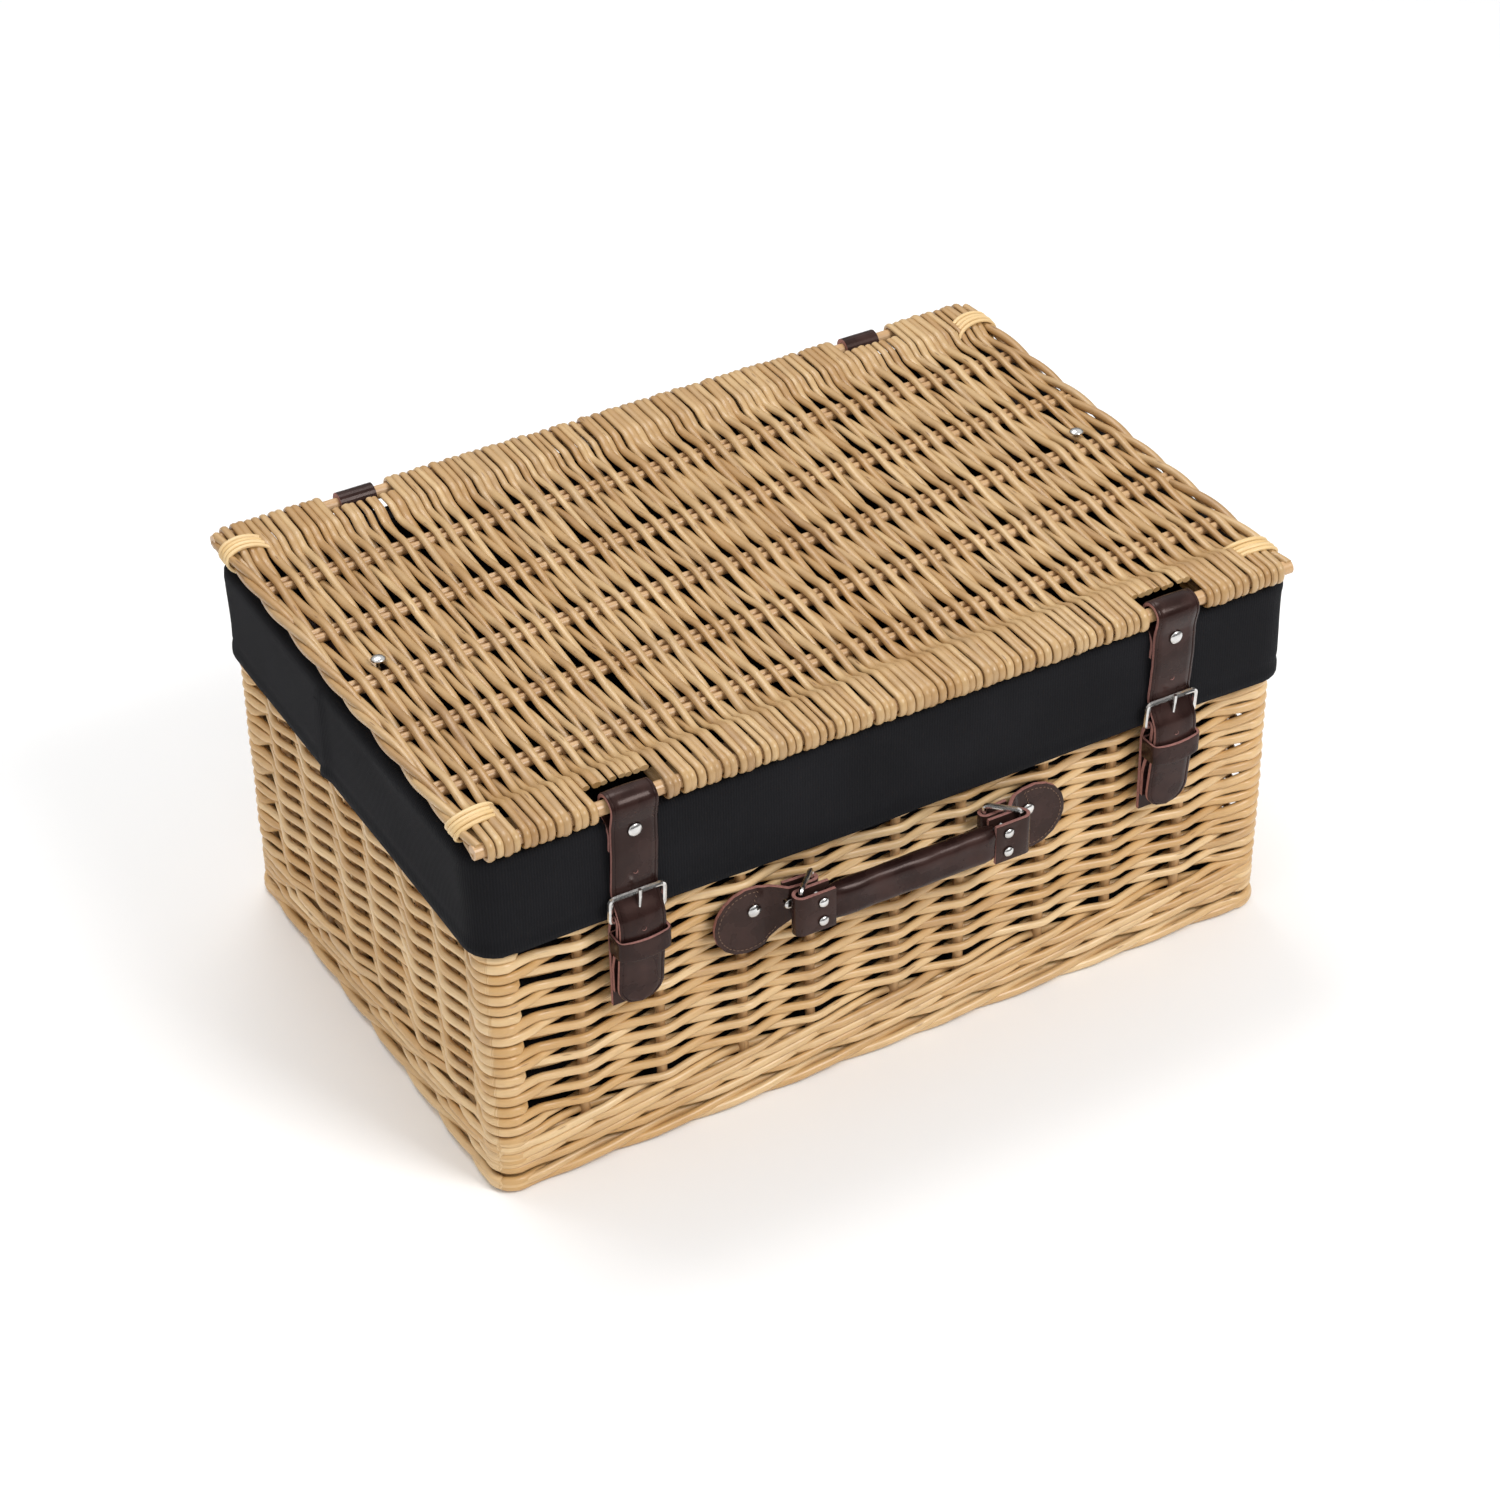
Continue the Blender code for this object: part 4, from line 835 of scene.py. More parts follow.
def lid_guide():
    """One weaver: under the back stick, over it, across, over the front stick and under it."""
    base = WRAP - LID_SWING
    points, outward, bays, hold, tip = [], [], [], [], []

    def add_point(y, z, ray, bay, holding, at_tip):
        points.append((0.0, y, z))
        outward.append((0.0, *ray))
        bays.append(bay)
        hold.append(holding)
        tip.append(at_tip)

    tail = [22, 18, 14, 9.5, 5]
    for back in tail:
        add_point(STICK_Y - back * MM, LID_MIDDLE - base + 0.4 * MM, (0, -1), 0.0, 1.0, 1.0)
    for i in range(11):
        a = -math.pi / 2 + math.pi * i / 10
        ray = (math.cos(a), math.sin(a))
        reach = base * squareness(a)
        add_point(STICK_Y + reach * ray[0], LID_MIDDLE + reach * ray[1], ray, 0.0, 1.0, 1.0)
    steps = 82
    for i in range(1, steps):
        y = STICK_Y - 2 * STICK_Y * i / steps
        near = STICK_Y - abs(y)
        holding = max(0.0, min(1.0, (35 * MM - near) / (13 * MM)))
        holding = holding * holding * (3 - 2 * holding)
        level = LID_MIDDLE + base * holding
        add_point(y, level, (0, 1), lid_bay(y), holding, 1.0 if near < 8.5 * MM else 0.0)
    last = float(len(stick_places) - 1)
    for i in range(11):
        a = math.pi / 2 + math.pi * i / 10
        ray = (math.cos(a), math.sin(a))
        reach = base * squareness(a)
        add_point(-STICK_Y + reach * ray[0], LID_MIDDLE + reach * ray[1], ray, last, 1.0, 1.0)
    for back in reversed(tail):
        add_point(-STICK_Y + back * MM, LID_MIDDLE - base + 0.4 * MM, (0, -1), last, 1.0, 1.0)
    values = {"outward": [outward], "bay": [bays], "hold": [hold], "tip": [tip]}
    still = [[0.0] * len(points)]
    return guide_mesh("lid_weaver", [points], dive=still, shift=still, **values)


first_weaver = -(LID_HALF - 9.5 * MM)
lid_step = -2 * first_weaver / (LID_WEAVERS - 1)
lid_line = lid_guide()
lid_line.transform(Matrix.Translation((first_weaver, 0, 0)))
lid_weave = grown(
    "lid_weaving",
    lid_line,
    WEAVING,
    Rods=LID_WEAVERS,
    Step=(lid_step, 0.0, 0.0),
    Swing=LID_SWING,
    Rod_Radius=LID_WEAVER,
    Thin=0.82,
    Across=(1.0, 0.0, 0.0),
    Wander=0.0024,
    Seed=23.0,
    Finish=SHADED_LID_WILLOW,
    Notch_Left=CLOSURE_X[0],
    Notch_Right=CLOSURE_X[1],
    Notch_Half=19.0 * MM,
    Hold_Wide=0.95,
    Hold_Thin=0.62,
    Peak=0.2,
    Uneven=0.34,
)
riding(lid_weave, "lid", "willow", "lid_panel")

stick_lines, stick_girth, stick_rows, stick_out = [], [], [], []
for i, y in enumerate(stick_places[1:-1]):
    for offset, girth in ((-2.9, 0.92), (3.0, 0.78)):
        xs = [-LID_HALF + 5 * MM + (2 * LID_HALF - 10 * MM) * j / 24 for j in range(25)]
        stick_lines.append([(x, y + offset * MM, LID_MIDDLE - 0.5 * MM) for x in xs])
        stick_girth.append([girth] * 25)
        stick_rows.append([40.0 + i * 2 + girth] * 25)
        stick_out.append([(0.0, 1.0, 0.0)] * 25)
lid_sticks = grown(
    "lid_inner_sticks",
    guide_mesh("lid_inner_sticks", stick_lines, outward=stick_out, girth=stick_girth, row=stick_rows),
    RODS,
    Rod_Radius=2.9 * MM,
    Thin=1.0,
    Wander=0.0012,
    Seed=31.0,
    Finish=STICK_WILLOW,
)
riding(lid_sticks, "lid", "peeled_stick")


def end_cord(side):
    """Rods twisted along one end of the lid."""
    sign = -1 if side == "left" else 1
    count = 80
    ys = [STICK_Y + 1 * MM - (2 * STICK_Y + 2 * MM) * i / (count - 1) for i in range(count)]
    points = [(sign * (LID_HALF - 4.6 * MM), y, LID_MIDDLE) for y in ys]
    guide = guide_mesh(
        f"lid_cord_{side}",
        [points],
        outward=[[(sign * 0.35, 0.0, 0.94)] * count],
        bay=[[lid_bay(y) for y in ys]],
        hold=[[0.0] * count],
        tip=[[0.0] * count],
    )
    cord = grown(
        f"lid_end_twist_{side}",
        guide,
        TWISTING,
        Rods=3,
        Step=(0.0, 0.0, 0.0),
        Swing=3.3 * MM,
        Rod_Radius=2.4 * MM,
        Thin=1.0,
        Across=(1.0, 0.0, 0.0),
        Wander=0.0009,
        Seed=41.0 + sign,
        Finish=SHADED_LID_WILLOW,
        Strands=3,
        Bays_A_Turn=2.0,
        Rise=2.6 * MM,
        Bias=0.0,
    )
    return riding(cord, "lid", "willow")


for side in SIDES:
    end_cord(side)


def lashing(node):
    """Four split skeins side by side, curving in from the lid's end and down through the weave."""
    low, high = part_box(node)
    sign = 1 if low.x > 0 else -1
    front = low.y < 0
    edge = max(abs(low.x), abs(high.x))
    lines, girth, rows, outs = [], [], [], []
    for k in range(4):
        line = []
        for i in range(19):
            s = i / 18
            angle = math.pi * (1.18 * s - 0.24)
            reach = 13.5 * MM
            x = edge - 14.5 * MM + reach * math.cos(angle)
            z = LID_MIDDLE + 6.9 * MM * math.sin(angle) + (0.5 + 0.35 * (k % 2)) * MM
            sweep = 4.5 * MM * math.sin(math.pi * s) * (-1 if front else 1)
            y = (low.y + high.y) / 2 + (k - 1.5) * 3.3 * MM + sweep
            line.append((sign * x, y, z))
        lines.append(line)
        girth.append([1.0] * 19)
        rows.append([70.0 + k + 5 * front + 11 * sign] * 19)
        outs.append([(0.0, 0.0, 1.0)] * 19)
    piece = grown(
        node.replace("lid_lashing", "skeins"),
        guide_mesh(node, lines, outward=outs, girth=girth, row=rows),
        RODS,
        Rod_Radius=1.6 * MM,
        Thin=0.72,
        Across=(0.0, 1.0, 0.0),
        Wander=0.0012,
        Seed=51.0,
        Finish=SKEIN,
    )
    return riding(piece, "lid", "willow", node)


for corner in ("front_left", "front_right", "back_left", "back_right"):
    lashing(f"lid_lashing_{corner}")


# Cloth


def cloth_piece(name, mesh, node):
    """A sheet given its thickness, on the basket in place of a node."""
    mesh.materials.append(COTTON)
    mesh.shade_smooth()
    piece = placed(name, mesh)
    solid = piece.modifiers.new("cloth", "SOLIDIFY")
    solid.thickness = CLOTH_THICKNESS
    solid.offset = 0.0
    return riding(piece, "basket", "black_cotton", node)


def cloth_grid(name, columns):
    """A mesh through columns of (x, y, z), each column one line across the cloth, with its UV map."""
    rows = len(columns[0])
    points = [p for column in columns for p in column]
    across = [0.0]
    for a, b in zip(columns, columns[1:]):
        across.append(across[-1] + (Vector(a[rows // 2]) - Vector(b[rows // 2])).length)
    down = [0.0]
    for a, b in zip(columns[0], columns[0][1:]):
        down.append(down[-1] + (Vector(a) - Vector(b)).length)
    faces = [
        (c * rows + r, c * rows + r + 1, (c + 1) * rows + r + 1, (c + 1) * rows + r)
        for c in range(len(columns) - 1)
        for r in range(rows - 1)
    ]
    mesh = bpy.data.meshes.new(name)
    mesh.from_pydata([tuple(p) for p in points], [], faces)
    uv = mesh.uv_layers.new(name="cloth")
    for loop in mesh.loops:
        c, r = divmod(loop.vertex_index, rows)
        uv.data[loop.index].uv = (across[c], down[r])
    return mesh


def crease(u, v, seed):
    """A smooth, repeatable unevenness, about -1 to 1."""
    total = 0.0
    for k in range(1, 5):
        total += math.sin(u * 21.0 * k + v * 33.0 * (k % 3) + seed * 1.7 * k) / (k + 0.6)
    return total * 0.55


def half_ring(seam_y, front, spacing):
    """Points round one half of the body, from the left end to the right end, with outward."""
    inner_x, inner_y = WALL_X - CORNER, WALL_Y - CORNER
    sy = -1 if front else 1
    places = []

    def run(a, b, ray):
        steps = max(1, int((b - a).length / spacing))
        for i in range(steps):
            places.append((a.lerp(b, i / steps), ray))

    left_end, right_end = Vector((-WALL_X, seam_y)), Vector((WALL_X, seam_y))
    run(left_end, Vector((-WALL_X, sy * inner_y)), Vector((-1, 0)))
    for sx, a0, a1 in ((-1, 0, 1), (1, 1, 0)):
        centre = Vector((sx * inner_x, sy * inner_y))
        for i in range(7):
            a = math.pi / 2 * (a0 + (a1 - a0) * i / 6)
            ray = Vector((sx * math.cos(a), sy * math.sin(a)))
            places.append((centre + ray * CORNER, ray))
        if sx < 0:
            run(Vector((-inner_x, sy * WALL_Y)), Vector((inner_x, sy * WALL_Y)), Vector((0, sy)))
    run(Vector((WALL_X, sy * inner_y)), right_end, Vector((1, 0)))
    places.append((right_end, Vector((1, 0))))
    return [(eased(place), ray) for place, ray in places]


def cuff(node, front, seam_y, extra_out):
    """The liner's turned-down cuff over one half of the rim, hemmed along the bottom."""
    low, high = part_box(node)
    top = high.z - 0.7 * MM
    columns = []
    places = half_ring(seam_y, front, 5.5 * MM)
    distance = 0.0
    total = sum((a[0] - b[0]).length for a, b in zip(places, places[1:]))
    for i, (place, ray) in enumerate(places):
        if i:
            distance += (place - places[i - 1][0]).length
        on_face = abs(ray.y)
        across = min(1.0, max(0.0, (place.x + WALL_X) / (2 * WALL_X)))
        dip = -3.6 * MM * math.sin(math.pi * across) * on_face
        to_corner = WALL_Y - abs(place.y) if on_face < 0.5 else WALL_X - abs(place.x)
        droop = 2.6 * math.exp(-((to_corner / (45 * MM)) ** 2)) if front else 0.0
        end = (1 - on_face) * (1 - min(1.0, abs(place.y) / WALL_Y)) * (-1.0 if front else -2.0)
        level = low.z + (2.6 if front else 2.0) * MM + dip + (end - droop) * MM
        hem = level + 0.7 * MM * crease(distance, 0, 2.0)
        column = []
        profile = [(-18.5, -2.6), (-16.5, -0.8), (-12.5, 0.0), (-9.0, 0.1), (-5.0, 0.15), (-1.0, 0.15)]
        profile += [(1.4, -0.6), (2.5, -2.4), (2.8, -5.5)]  # out from the wall and up, mm
        loose = math.exp(-((min(distance, total - distance) / (6 * MM)) ** 2)) if front else 0.0
        flare = extra_out + 2.2 * MM * loose
        for out, drop in profile:
            flap = loose * max(0.0, (out + 6) / 9)
            reach = out * MM + extra_out + 1.5 * MM * flap
            column.append((place + ray * reach, top + (drop - 2.5 * flap) * MM))
        start_z = top - 5.5 * MM
        rows = 17
        for j in range(1, rows + 1):
            t = j / rows
            z = start_z + (hem - start_z) * t
            slack = 0.8 + 0.8 * (1 - on_face)
            loosest = math.sin(math.pi * min(1, t * 1.15)) ** 0.6
            wave = crease(distance, z, 5.0 if front else 9.0) * slack * loosest
            seam = 0.35 if t > 0.9 else -0.35 if t > 0.82 else 0.0
            column.append((place + ray * ((2.6 + wave + seam) * MM + flare), z))
        column.append((place + ray * (1.7 * MM + flare), hem - 0.5 * MM))
        column.append((place + ray * (1.0 * MM + flare), hem + 3.0 * MM))
        columns.append([(p.x, p.y, z) for p, z in column])
    name = node + "_cloth"
    piece = cloth_piece(name, cloth_grid(name, columns), node)


cuff("cuff_front", True, 24 * MM, 0.7 * MM)
cuff("cuff_back", False, 12 * MM, 0.0)


def liner():
    """The hanging bag: walls that sag a little away from the weave, and a floor with its own creases."""
    low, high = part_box("liner_bag")
    behind = WEAVE_DEPTH + WALL_SWING + WEAVER + 1.2 * MM
    half_x, half_y = WALL_X - behind, WALL_Y - behind
    top = high.z - 1.2 * MM
    floor_z = low.z + 1.4 * MM
    turn = 12 * MM
    ring = []
    for sx, sy, a0 in ((-1, -1, 180), (1, -1, 270), (1, 1, 0), (-1, 1, 90)):
        centre = Vector((sx * (half_x - turn), sy * (half_y - turn)))
        for i in range(8):
            a = math.radians(a0 + 90 * i / 7)
            ray = Vector((math.cos(a), math.sin(a)))
            ring.append((centre + ray * turn, ray))
        following = {(-1, -1): (1, -1), (1, -1): (1, 1), (1, 1): (-1, 1), (-1, 1): (-1, -1)}[sx, sy]
        end, ray = ring[-1]
        target = Vector((following[0] * half_x, following[1] * half_y))
        straight = (abs(target.x - end.x) if abs(ray.y) > 0.5 else abs(target.y - end.y)) - turn
        along = Vector((-ray.y, ray.x))
        steps = int(straight / (9 * MM))
        for i in range(1, steps):
            ring.append((end + along * straight * i / steps, ray))
    points, faces = [], []
    levels = 22
    distance = 0.0
    count = len(ring)
    distances = []
    for i, (p, _) in enumerate(ring):
        distances.append(distance)
        distance += (ring[(i + 1) % count][0] - p).length
    for j in range(levels + 1):
        t = j / levels
        z = top + (floor_z + 7 * MM - top) * t
        for (p, ray), d in zip(ring, distances):
            sag = -(1 + crease(d, z, 3.0)) * 0.7 * MM * math.sin(math.pi * min(1, t)) - 0.5 * MM * t
            q = p + ray * (sag + (1 - t) ** 9 * 3.5 * MM)
            points.append((q.x, q.y, z))
    floor_rings = [(0.992, 3.0), (0.975, 0.9), (0.94, 0.2)]
    floor_rings += [(shrink, 0.0) for shrink in (0.8, 0.6, 0.4, 0.2, 0.05)]
    for shrink, rise in floor_rings:
        for (p, ray), d in zip(ring, distances):
            puff = crease(d, shrink * 2, 8.0) * 0.3 * MM * max(0.0, shrink - 0.5) * (1 - shrink) * 8
            points.append((p.x * shrink, p.y * shrink, floor_z + rise * MM + puff))
    total_rows = levels + 1 + len(floor_rings)
    for j in range(total_rows - 1):
        for i in range(count):
            n = (i + 1) % count
            faces.append((j * count + i, (j + 1) * count + i, (j + 1) * count + n, j * count + n))
    faces.append(tuple((total_rows - 1) * count + i for i in reversed(range(count))))
    mesh = bpy.data.meshes.new("liner_cloth")
    mesh.from_pydata(points, [], faces)
    uv = mesh.uv_layers.new(name="cloth")
    for polygon in mesh.polygons:
        for loop in polygon.loop_indices:
            index = mesh.loops[loop].vertex_index
            x, y, z = points[index]
            on_wall = index < (levels + 1) * count
            uv.data[loop].uv = (distances[index % count] if on_wall else x, z if on_wall else y)
    piece = cloth_piece("liner_cloth", mesh, "liner_bag")
    width, length = 2 * half_x + 2 * (top - floor_z), 2 * half_y + 2 * (top - floor_z)
    cut_area = width * length - 4 * (top - floor_z) ** 2


liner()

# Leatherwork and rivets


def middle(node):
    """The centre of a node's box."""
    low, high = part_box(node)
    return (low + high) / 2


def new_piece(name, work, *finishes):
    """A piece from a bmesh, which is freed."""
    mesh = bpy.data.meshes.new(name)
    work.to_mesh(mesh)
    work.free()
    for finish in finishes:
        mesh.materials.append(finish)
    mesh.shade_smooth()
    mesh.set_sharp_from_angle(angle=math.radians(42))
    return placed(name, mesh)


def softened(node, name, finish, bare=None, round_by=0.4 * MM, longest=None):
    """A merged copy of a node with eased edges; bare(face) picks its cut faces."""
    work = bmesh.new()
    work.from_mesh(frame["nodes"][node].data)
    bmesh.ops.remove_doubles(work, verts=work.verts, dist=0.01 * MM)
    bmesh.ops.dissolve_limit(work, angle_limit=math.radians(1), verts=work.verts, edges=work.edges)
    work.normal_update()
    for face in work.faces:
        face.material_index = int(bool(bare and bare(face)))
    if round_by:
        hard = [e for e in work.edges if len(e.link_faces) == 2 and e.calc_face_angle() > math.radians(50)]
        bmesh.ops.bevel(
            work,
            geom=hard,
            offset=round_by,
            segments=2,
            profile=0.5,
            affect="EDGES",
            clamp_overlap=True,
        )
    bmesh.ops.triangulate(work, faces=work.faces)
    for _ in range(3 if longest else 0):
        wide = [e for e in work.edges if e.calc_length() > longest]
        bmesh.ops.subdivide_edges(work, edges=wide, cuts=1)
        bmesh.ops.triangulate(work, faces=work.faces)
    return new_piece(name, work, finish, CUT_EDGE)


def body_of(node):
    """The body that a node moves with."""
    return frame["nodes"][node]["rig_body"]


def flexing(piece, node, body, other, start, end):
    """Bakes a piece's placement into its mesh and hides the node that it stands in for; the two bodies are
    not used.
    """
    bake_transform(piece)
    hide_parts(node)


def on_surface(node, spots, proud):
    """Where each (x, z) meets the front of a node, stood off by proud; spots that miss are left out."""
    found = []
    for x, z in spots:
        hit, at, _, _ = frame["nodes"][node].ray_cast(Vector((x, -1, z)), Vector((0, 1, 0)))
        if hit:
            found.append(at - Vector((0, proud, 0)))
    return found


def stitched(name, lines):
    """A piece of thread laid in stitches along the lines."""
    return grown(
        name,
        guide_mesh(name, lines),
        STITCHING,
        Pitch=2.7 * MM,
        Stitch_Length=1.9 * MM,
        Thread_Radius=0.28 * MM,
        Finish=THREAD,
    )


def punched(name, places):
    """Burred rims of holes through a strap, facing the front, with their dark insides."""
    work = bmesh.new()
    profile = ((1.75, 0.3), (1.6, -0.12), (1.35, -0.16), (1.15, 0.1), (0.3, 0.2))
    sides = 14
    for at in places:
        rings = []
        for radius, depth in profile:
            ring = []
            for i in range(sides):
                a = 2 * math.pi * i / sides
                offset = Vector((radius * math.cos(a), depth, radius * math.sin(a))) * MM
                ring.append(work.verts.new(at + offset))
            rings.append(ring)
        for step, (outer, inner) in enumerate(zip(rings, rings[1:])):
            for i in range(sides):
                face = work.faces.new((outer[i], outer[(i + 1) % sides], inner[(i + 1) % sides], inner[i]))
                face.material_index = int(step == 2)
        work.faces.new(rings[-1])
        work.faces.new(list(reversed(rings[0])))
    bmesh.ops.recalc_face_normals(work, faces=work.faces)
    return new_piece(name, work, PLAIN_HIDE, CUT_EDGE)


def smooth_path(points, step):
    """Points along a Catmull-Rom curve, about step apart."""
    fine = []
    ends = [points[0] * 2 - points[1], *points, points[-1] * 2 - points[-2]]
    for p0, p1, p2, p3 in zip(ends, ends[1:], ends[2:], ends[3:]):
        count = max(1, round((p2 - p1).length / step))
        for i in range(count):
            t = i / count
            cubic = (p1 * 3 - p0 - p2 * 3 + p3) * t**3
            fine.append((p1 * 2 + (p2 - p0) * t + (p0 * 2 - p1 * 5 + p2 * 4 - p3) * t**2 + cubic) / 2)
    return [*fine, points[-1]]


def hide_profile(half, thick):
    """(across, out) of a strap's section, anticlockwise seen from its end, and which sides are cut."""
    side = [(0.0, -0.5 * thick + 0.3 * MM), (0.0, 0.5 * thick - 0.4 * MM), (0.4 * MM, 0.5 * thick)]
    side += [(1.5 * MM, 0.5 * thick + 0.1 * MM), (1.9 * MM, 0.5 * thick - 0.25 * MM)]
    side += [(2.3 * MM, 0.5 * thick + 0.05 * MM)]
    left = [(-half + min(inset, 0.8 * half), out) for inset, out in side]
    inner = half - min(2.3 * MM, 0.8 * half)
    shares = (-0.75, -0.5, -0.25, 0, 0.25, 0.5, 0.75)
    crown = [(inner * u, (0.5 + 0.15 * (1 - u * u)) * thick) for u in shares]
    back = [(half - 0.3 * MM, -0.5 * thick), (-half + 0.3 * MM, -0.5 * thick)]
    cut = {0, len(left) * 2 + len(crown) - 2}
    return left + crown + [(-x, out) for x, out in reversed(left)] + back, cut


def strap_piece(name, path, halves, thick, dimple=None):
    """A strap swept along path; halves are its half widths, and dimple is where a rivet pulls it in."""
    work = bmesh.new()
    rings = []
    for i, (at, half) in enumerate(zip(path, halves)):
        along = (path[min(i + 1, len(path) - 1)] - path[max(i - 1, 0)]).normalized()
        out = along.cross(Vector((1, 0, 0)))
        section, cut = hide_profile(half, thick)
        ring = []
        for x, off in section:
            spot = at + Vector((x, 0, 0)) + out * off
            if dimple is not None and off > 0 and out.y < 0:
                spot.y += 0.8 * MM * math.exp(-(((spot - dimple).length / (6.5 * MM)) ** 2))
            ring.append(work.verts.new(spot))
        rings.append(ring)
    count = len(rings[0])
    for first, second in zip(rings, rings[1:]):
        for i in range(count):
            n = (i + 1) % count
            face = work.faces.new((first[i], first[n], second[n], second[i]))
            face.material_index = int(i in cut)
    work.faces.new(list(reversed(rings[0]))).material_index = 1
    work.faces.new(rings[-1]).material_index = 1
    bmesh.ops.recalc_face_normals(work, faces=work.faces)
    return new_piece(name, work, PLAIN_HIDE, CUT_EDGE)


def closure(side):
    """The strap that hangs from the lid's front stick, its creases, bare edges and holes."""
    strap = f"closure_strap_{side}"
    low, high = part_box(strap)
    x = (low.x + high.x) / 2
    half = (high.x - low.x) / 2
    rivet = middle(f"closure_rivet_{side}")
    reach = half - 4 * MM
    zs = np.arange(rivet.z / MM - 3, low.z / MM + 1.2, -3.0)
    hung = on_surface(strap, [(x + reach, z * MM) for z in zs], 0.0)
    hung = [Vector((x, at.y + STRAP / 2, at.z)) for at in hung]
    stick = Vector((x, -STICK_Y, LID_MIDDLE))
    outer = on_surface(strap, [(x + reach, rivet.z + 1 * MM)], -STRAP / 2)[0].y
    inner = outer + STRAP + 0.4 * MM
    loop = [Vector((x, inner, rivet.z - 12 * MM)), Vector((x, inner, rivet.z))]
    round_stick = ((5.2, -7.5), (6.3, -2.0), (5.4, 3.2), (1.2, 6.4), (-4.2, 6.0), (-8.0, 1.5))
    loop += [stick + Vector((0, y, z)) * MM for y, z in round_stick]
    loop.append(Vector((x, outer - 0.8 * MM, stick.z - 8 * MM)))
    loop.append(Vector((x, outer - 0.2 * MM, rivet.z + 4 * MM)))
    path = smooth_path(loop + hung, 1.6 * MM)
    tip = path[-1].z
    halves = []
    for number, at in enumerate(path):
        rise = min(1.0, max(0.0, (at.z - tip) / (12.5 * MM)) + 0.002)
        past_rivet = number > len(path) / 2
        halves.append(half * (math.sqrt(1 - (1 - rise) ** 2) ** 0.9 if past_rivet else 1.0))
    piece = strap_piece(f"hide_strap_{side}", path, halves, STRAP, rivet)
    riding(piece, f"strap_{side}", "brown_leather", strap)
    bar_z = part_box(f"buckle_frame_{side}")[1].z
    spots = [(x, bar_z + 11 * MM), (x, bar_z - 22 * MM)]
    front = []
    for spot_x, z in spots:
        hit, at, _, _ = piece.ray_cast(Vector((spot_x, -1, z)), Vector((0, 1, 0)))
        if hit:
            front.append(at)
    riding(punched(f"strap_holes_{side}", front), f"strap_{side}", "brown_leather")


def keeper(side):
    """The loop that holds the strap's end sags at the front."""
    node = f"keeper_{side}"
    piece = softened(
        node, f"hide_keeper_{side}", PLAIN_HIDE, lambda f: abs(f.normal.z) > 0.6, 0.3 * MM, 3 * MM
    )
    low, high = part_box(node)
    for vertex in piece.data.vertices:
        across = (2 * vertex.co.x - low.x - high.x) / (high.x - low.x)
        forward = (high.y - vertex.co.y) / (high.y - low.y)
        vertex.co.z -= 2.6 * MM * forward**2 * (1 - across**2) - 0.8 * MM * forward
        vertex.co.y -= 0.5 * MM * forward * (1 - across**2)
    riding(piece, body_of(node), "brown_leather", node)


def patch(side):
    """The teardrop patch, with stitches that follow its edge."""
    node = f"handle_patch_{side}"
    sign = -1 if side == "left" else 1
    names = ("patch_rivet_outer", "patch_rivet_neck", "handle_ring")
    rivet, neck, ring = (middle(f"{name}_{side}") for name in names)
    centre = Vector((rivet.x + sign * 3 * MM, 0, rivet.z - 3 * MM))
    line = []
    for i in range(61):
        a = math.radians(38 + 284 * i / 60)
        ray = Vector((-sign * math.cos(a), 0, math.sin(a)))
        reach = 0.0
        while reach < 30 * MM:
            spot = centre + ray * (reach + 0.5 * MM)
            if not on_surface(node, [(spot.x, spot.z)], 0):
                break
            reach += 0.5 * MM
        spot = centre + ray * (reach - 2.2 * MM)
        line += on_surface(node, [(spot.x, spot.z)], 0.05 * MM)
    riding(stitched(f"patch_stitches_{side}", [line]), "basket", "brown_leather")

    def bare(face):
        flat_part = sign * (face.calc_center_median().x - neck.x) > 0
        return abs(face.normal.z) > 0.6 or (flat_part and abs(face.normal.y) < 0.4)

    piece = softened(node, f"flexing_patch_{side}", PATCH_HIDE, bare, 0.35 * MM, 5 * MM)
    flexing(piece, node, "basket", "handle", neck, (ring.x, neck.y, ring.z))


def end_tab(side):
    """The tab at one end of the grip, its inner end cut square."""
    node = f"handle_end_tab_{side}"
    sign = -1 if side == "left" else 1
    low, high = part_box(node)
    inner_end = low.x if sign > 0 else high.x

    def bare(face):
        at_end = abs(face.calc_center_median().x - inner_end) < 1 * MM
        return abs(face.normal.z) > 0.6 or (abs(face.normal.x) > 0.6 and at_end)

    piece = softened(node, f"hide_end_tab_{side}", PATCH_HIDE, bare, 0.35 * MM)
    riding(piece, "handle", "brown_leather", node)


